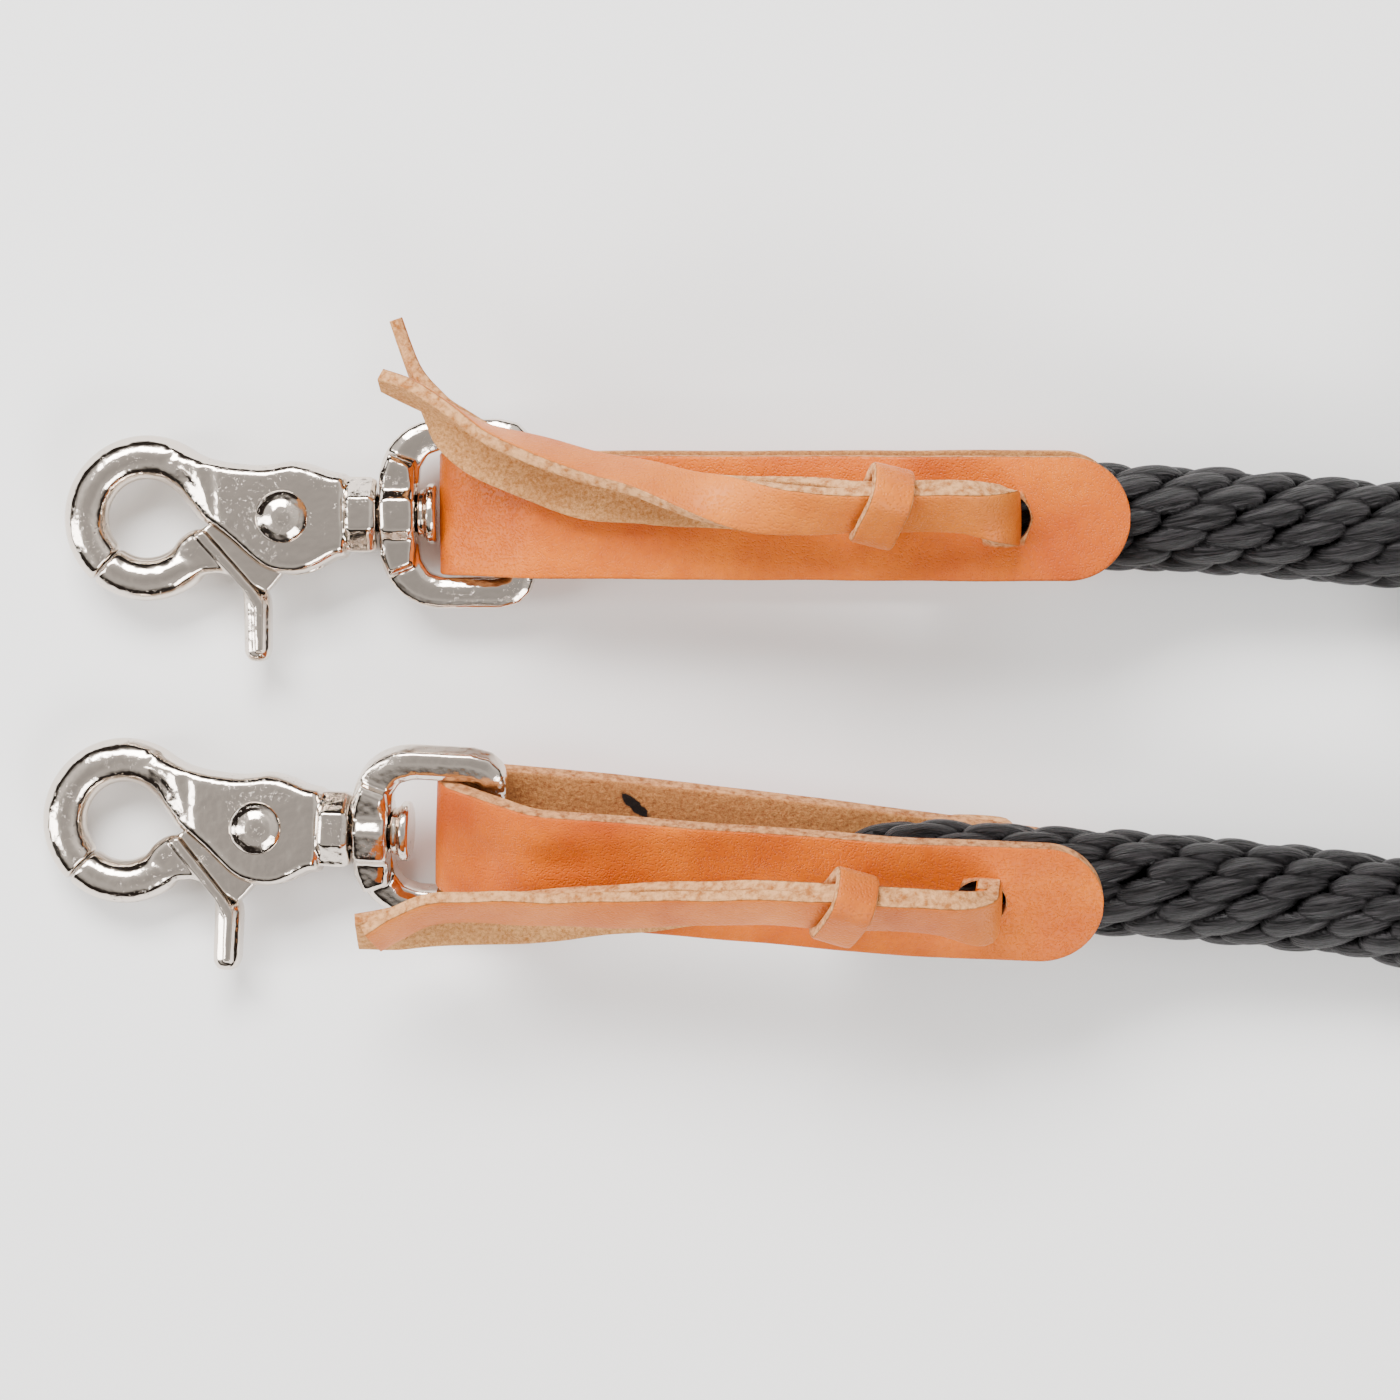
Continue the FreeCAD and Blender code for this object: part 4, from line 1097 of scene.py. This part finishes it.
def eye_parts():
    """The D-shaped swivel eye: two arms, a faceted bored boss and the bar."""
    parts = []
    for side in (1, -1):
        outer = []
        for step in range(10):
            turn = math.radians(90 + 10 * step)
            outer.append((-14.9 + 11.2 * math.cos(turn), 6.0 + 11.2 * math.sin(turn)))
        arm = [(2.2, 9.6), (2.15, 11.6), (1.3, 14.3), (-0.8, 16.4), (-4.2, 17.2), *outer]
        arm += [(-26.1, 4.4), (-19.0, 4.4), (-18.6, 8.4), (-17.2, 10.7), (-14.6, 11.65)]
        arm += [(-4.9, 11.65), (-3.0, 11.0), (-2.2, 9.6)]
        arm = [(x, side * y) for x, y in arm]
        parts += pillow(arm, 2.7, 0.7)
        shoulder = [(-25.9, 4.0), (-25.8, 7.6), (-24.2, 11.2), (-19.6, 9.4), (-19.4, 4.0)]
        shoulder = [(x, side * y) for x, y in shoulder]
        parts += [prism(shoulder, -4.2, 4.2), prism(inset(shoulder, 0.9), -4.9, 4.9)]
    bar = [(-12.5, 0.0), (-12.5, 2.15), (12.5, 2.15), (12.5, 0.0)]
    parts.append(turned_part(bar, axis="y"))
    flats = [(-25.8, 4.6), (-25.8, 6.6), (-25.1, 7.3), (-20.2, 7.3), (-19.4, 6.6), (-19.4, 4.6)]
    parts.append(turned_part(flats, count=8))
    bore = [(-25.8, 3.7), (-25.8, 5.4), (-19.4, 5.4), (-19.4, 3.7)]
    parts.append(turned_part(bore))
    return parts


def mesh_part(made):
    """The points and faces of a finished casting, to build on."""
    points = np.array([v.co for v in made.data.vertices]) / MM
    faces = [tuple(p.vertices) for p in made.data.polygons]
    bpy.data.objects.remove(made)
    return points, faces


print(len(eye_parts()), "parts in an eye")

# %% [markdown]
# ## Castings: the snap's body
#
# The soft stage is stacked in layers and melted. The collar and the stud are added crisp, and the
# whole is melted once more.

# %%
ARM = [
    (-67.0, 13.5), (-64.6, 13.3), (-60.5, 11.7), (-56.2, 9.9), (-51.4, 9.1), (-46.5, 8.9),
    (-41.7, 9.6), (-38.1, 8.9), (-34.5, 7.6), (-31.4, 6.6), (-31.2, 0.0), (-31.4, -7.5),
    (-33.8, -8.5), (-37.5, -10.6), (-40.5, -11.5), (-44.1, -11.4), (-47.2, -10.4),
    (-50.1, -8.2), (-53.7, -5.0), (-56.7, -2.8), (-58.6, -1.5), (-59.8, 0.1), (-61.4, 2.0),
    (-63.4, 4.4), (-65.4, 5.9), (-67.0, 7.2),
]


def soft_body():
    """The hook's ring, its arm and the two cheeks. The arm is as round as the ring's wire where
    it leaves the ring, and has become a flat plate with a bevel where it reaches the rivet."""
    outline = np.array(curved(ARM, 4))
    ways = unit(np.roll(outline, -1, axis=0) - np.roll(outline, 1, axis=0))
    inward = np.column_stack([ways[:, 1], -ways[:, 0]])
    share = np.clip((outline[:, 0] + 66.5) / 12.5, 0, 1)
    share = share * share * (3 - 2 * share)
    half, bevel = 4.05 + 1.5 * share, 4.05 - 2.2 * share
    bare = (outline[:, 1] < 5.2) & (outline[:, 0] > -58.4) & (outline[:, 0] < -36.0)
    spine = [(-38.6, 5.4), (-43.4, 7.0), (-48.2, 5.4), (-57.4, -1.0)]
    parts = []
    for level in np.arange(0.0, 5.55, 0.37):
        top = level + 0.37
        keep = half > top - 0.12
        depth = np.sqrt(np.clip(1 - (np.minimum(top, half) / half) ** 2, 0, 1))
        layer = outline + inward * (bevel * (1 - depth))[:, None]
        if top < 2.6:
            mid = list(map(tuple, layer[keep & ~bare]))
            first = next(i for i, p in enumerate(mid) if p[0] > -36.0 and p[1] < -6.0)
            mid[first + 1 : first + 1] = [(-36.2, 0.0), *spine]
            parts.append(prism(mid, -top, top))
            continue
        for side in (-1, 1):
            parts.append(prism(list(map(tuple, layer[keep])), *sorted((side * 2.45, side * top))))
    parts.append(ring_arc(RING, 11.1, 4.05, 40.0, 228.6))
    return parts


def body_parts():
    """The snap's body with its collar and its headed stud."""
    parts = [mesh_part(casting("soft_body", soft_body(), 0.34, 14))]
    collar = [(-32.0, 0.0), (-32.0, 6.9), (-31.3, 7.4), (-27.5, 7.4), (-26.4, 6.7), (-26.4, 0.0)]
    parts.append(turned_part(collar, (0, -0.25, 0), count=8))
    stud = [
        (-27.5, 0.0), (-27.5, 3.3), (-19.2, 3.3), (-19.1, 4.3), (-17.7, 4.4), (-17.5, 5.2),
        (-17.2, 5.5), (-16.1, 5.5), (-15.7, 5.0), (-15.7, 0.0),
    ]
    parts.append(turned_part(stud, count=32))
    return parts


print(len(curved(ARM, 4)), "points round the arm")

# %% [markdown]
# ## Castings: the trigger and its rivet
#
# The trigger closes the ring, turns on a hub between the cheeks and ends in a thumb lever.

# %%
def soft_trigger():
    """The gate's part of the ring and the plate that it grows out of."""
    gate = [
        (-58.9, -2.7), (-49.8, -12.6), (-46.0, -14.6), (-45.8, -17.0), (-45.8, -24.8),
        (-46.4, -26.4), (-47.6, -27.0), (-49.6, -26.8), (-50.5, -25.4), (-50.7, -15.4),
        (-50.9, -13.8), (-51.8, -12.4), (-53.2, -11.3), (-55.2, -10.8), (-57.7, -11.0),
        (-60.5, -12.4), (-63.2, -14.2), (-65.4, -11.4), (-64.2, -7.4), (-62.6, -4.8),
        (-60.8, -3.4),
    ]
    parts = [prism(gate, -2.6, 2.6), prism(inset(gate, 0.8), -3.5, 3.5)]
    parts.append(ring_arc(RING, 11.1, 4.0, 229.8, 312.0, 36))
    return parts


def trigger_parts():
    """The gate, its hub between the cheeks and the ridged thumb lever."""
    web = [(-58.5, -2.9), (-47.3, 4.1), (-37.8, -3.8), (-45.8, -13.6), (-49.0, -16.0)]
    web += [(-53.0, -9.0), (-61.0, -5.6)]
    parts = [mesh_part(casting("soft_gate", soft_trigger(), 0.33, 12)), prism(web, -2.1, 2.1)]
    hub = [(-2.1, 2.3), (-2.1, 6.4), (2.1, 6.4), (2.1, 2.3)]
    parts.append(turned_part(hub, (*RIVET, 0), axis="z"))
    ridge = [(-59.4, -4.2), (-57.9, -3.2), (-48.7, -13.6), (-46.8, -16.2), (-46.9, -25.2)]
    ridge += [(-48.3, -25.2), (-48.4, -17.4), (-50.3, -14.2)]
    parts.append(prism(ridge, -4.4, 4.4))
    return parts


def rivet_parts():
    """The rivet with two domed heads."""
    profile = [(-7.6, 0.0)]
    for side in (-1, 1):
        dome = [(7.6, 0.6), (7.5, 1.7), (7.0, 3.1), (6.3, 4.2), (5.8, 4.8), (5.3, 4.8)]
        dome = [(side * x, radius) for x, radius in dome]
        profile += dome if side < 0 else [(5.3, 2.2), *dome[::-1]]
        if side < 0:
            profile.append((-5.3, 2.2))
    profile.append((7.6, 0.0))
    return [turned_part(profile, (*RIVET, 0), axis="z")]


print(len(rivet_parts()), "part in a rivet")

# %% [markdown]
# ## Castings: poured and placed
#
# Each shape is melted once and used at both ends.

# %%
moulds = {
    "swivel_eye": casting("eye_mould", eye_parts(), 0.3, 14),
    "snap_body": casting("body_mould", body_parts()),
    "trigger": casting("trigger_mould", trigger_parts()),
    "rivet": casting("rivet_mould", rivet_parts(), 0.2, 4),
}
castings = {}
for node, mould in moulds.items():
    for end in ENDS:
        made = bpy.data.objects.new(f"{node}_piece_{end}", mould.data.copy())
        scene.collection.objects.link(made)
        place = end_matrix(end, "snap_pitch", rolled=node == "swivel_eye")
        castings[node, end] = settle(made, nickel_plate, place, crease=math.radians(60))
    bpy.data.objects.remove(mould)
print({key[0]: len(made.data.polygons) for key, made in castings.items()}, "faces")

# %% [markdown]
# ## Pieces on their bodies
#
# Each piece but the laces rides on the body of the node it stands for. A lace's free tails lie
# over the eye, but the lace is baked in place and rides on no body.

# %%
RIDES_ON = {"swivel_eye": "eye", "snap_body": "snap", "rivet": "snap", "trigger": "gate"}
for end in ENDS:
    for node, body in RIDES_ON.items():
        piece = castings[node, end]
        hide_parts(f"{node}_{end}")
        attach(piece, f"{body}_{end}")
    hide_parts(f"leather_loop_{end}")
    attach(loops[end], "reins")
    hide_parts(f"keeper_{end}")
    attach(keepers[end], f"slider_{end}")
    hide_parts(f"lace_{end}")
    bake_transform(laces[end])
    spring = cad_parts[f"trigger_spring_{end}"]
    spring.data.materials.clear()
    spring.data.materials.append(spring_steel)
for name, tie in ties.items():
    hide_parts(f"hank_tie_{name}")
    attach(tie, "reins")
for piece in rope_pieces:
    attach(piece, "reins")
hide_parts("rope_lead_a", "rope_lead_b", "rope_hank")
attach(rope_core, "reins")
print("pieces ride on their bodies")

# %% [markdown]
# ## Table and light
#
# A pale table, a big soft light overhead, and darker surroundings near the horizon that give the
# nickel its contrast.

# %%
TABLE_TOP = -0.4
corners = [(-3000, -3000), (3600, -3000), (3600, 3000), (-3000, 3000)]
floor = new_mesh("table_top", [(*spot, TABLE_TOP) for spot in corners], [(0, 1, 2, 3)])
pale, _, pale_shader = new_material("pale_table", Roughness=0.9)
pale_shader.inputs["Base Color"].default_value = colour("#fcfbfa")
floor.data.materials.append(pale)


def area_light(name, place, target, size, power):
    """A soft rectangular light."""
    lamp = bpy.data.lights.new(name, "AREA")
    lamp.shape, lamp.size, lamp.size_y, lamp.energy = "RECTANGLE", size[0], size[1], power
    made = bpy.data.objects.new(name, lamp)
    made.location = place
    aim = Vector(target) - Vector(place)
    made.rotation_euler = aim.to_track_quat("-Z", "Y").to_euler()
    scene.collection.objects.link(made)
    return made


area_light("key", (-0.3, 0.8, 0.95), (0.02, 0, 0), (0.9, 0.5), 32.0)
area_light("fill", (0.5, -0.85, 0.7), (0.02, 0, 0), (0.7, 0.4), 12.0)
area_light("left", (-0.9, -0.1, 0.5), (0, 0, 0), (0.25, 0.8), 8.0)

world = bpy.data.worlds.new("studio")
world.use_nodes = True
scene.world = world
tree = world.node_tree
ground = tree.nodes["Background"]
up = add_node(tree, "SeparateXYZ", {"Vector": add_node(tree, "TexCoord").outputs["Generated"]})
rise = ranged(tree, up.outputs["Z"], 0.38, 0.64)
crown = ranged(tree, up.outputs["Z"], 0.8, 0.97, 0.0, 0.42)
sides = ranged(tree, up.outputs["Y"], -0.5, 0.6, 0.55, 1.0)
lit = add_node(tree, "Math", {0: summed(tree, rise, crown, -1.0), 1: sides}, operation="MULTIPLY")
glow = blended(tree, lit.outputs[0], colour("#2a2522"), colour("#fffdfa"))
tree.links.new(glow, ground.inputs["Color"])
ground.inputs["Strength"].default_value = 1.25
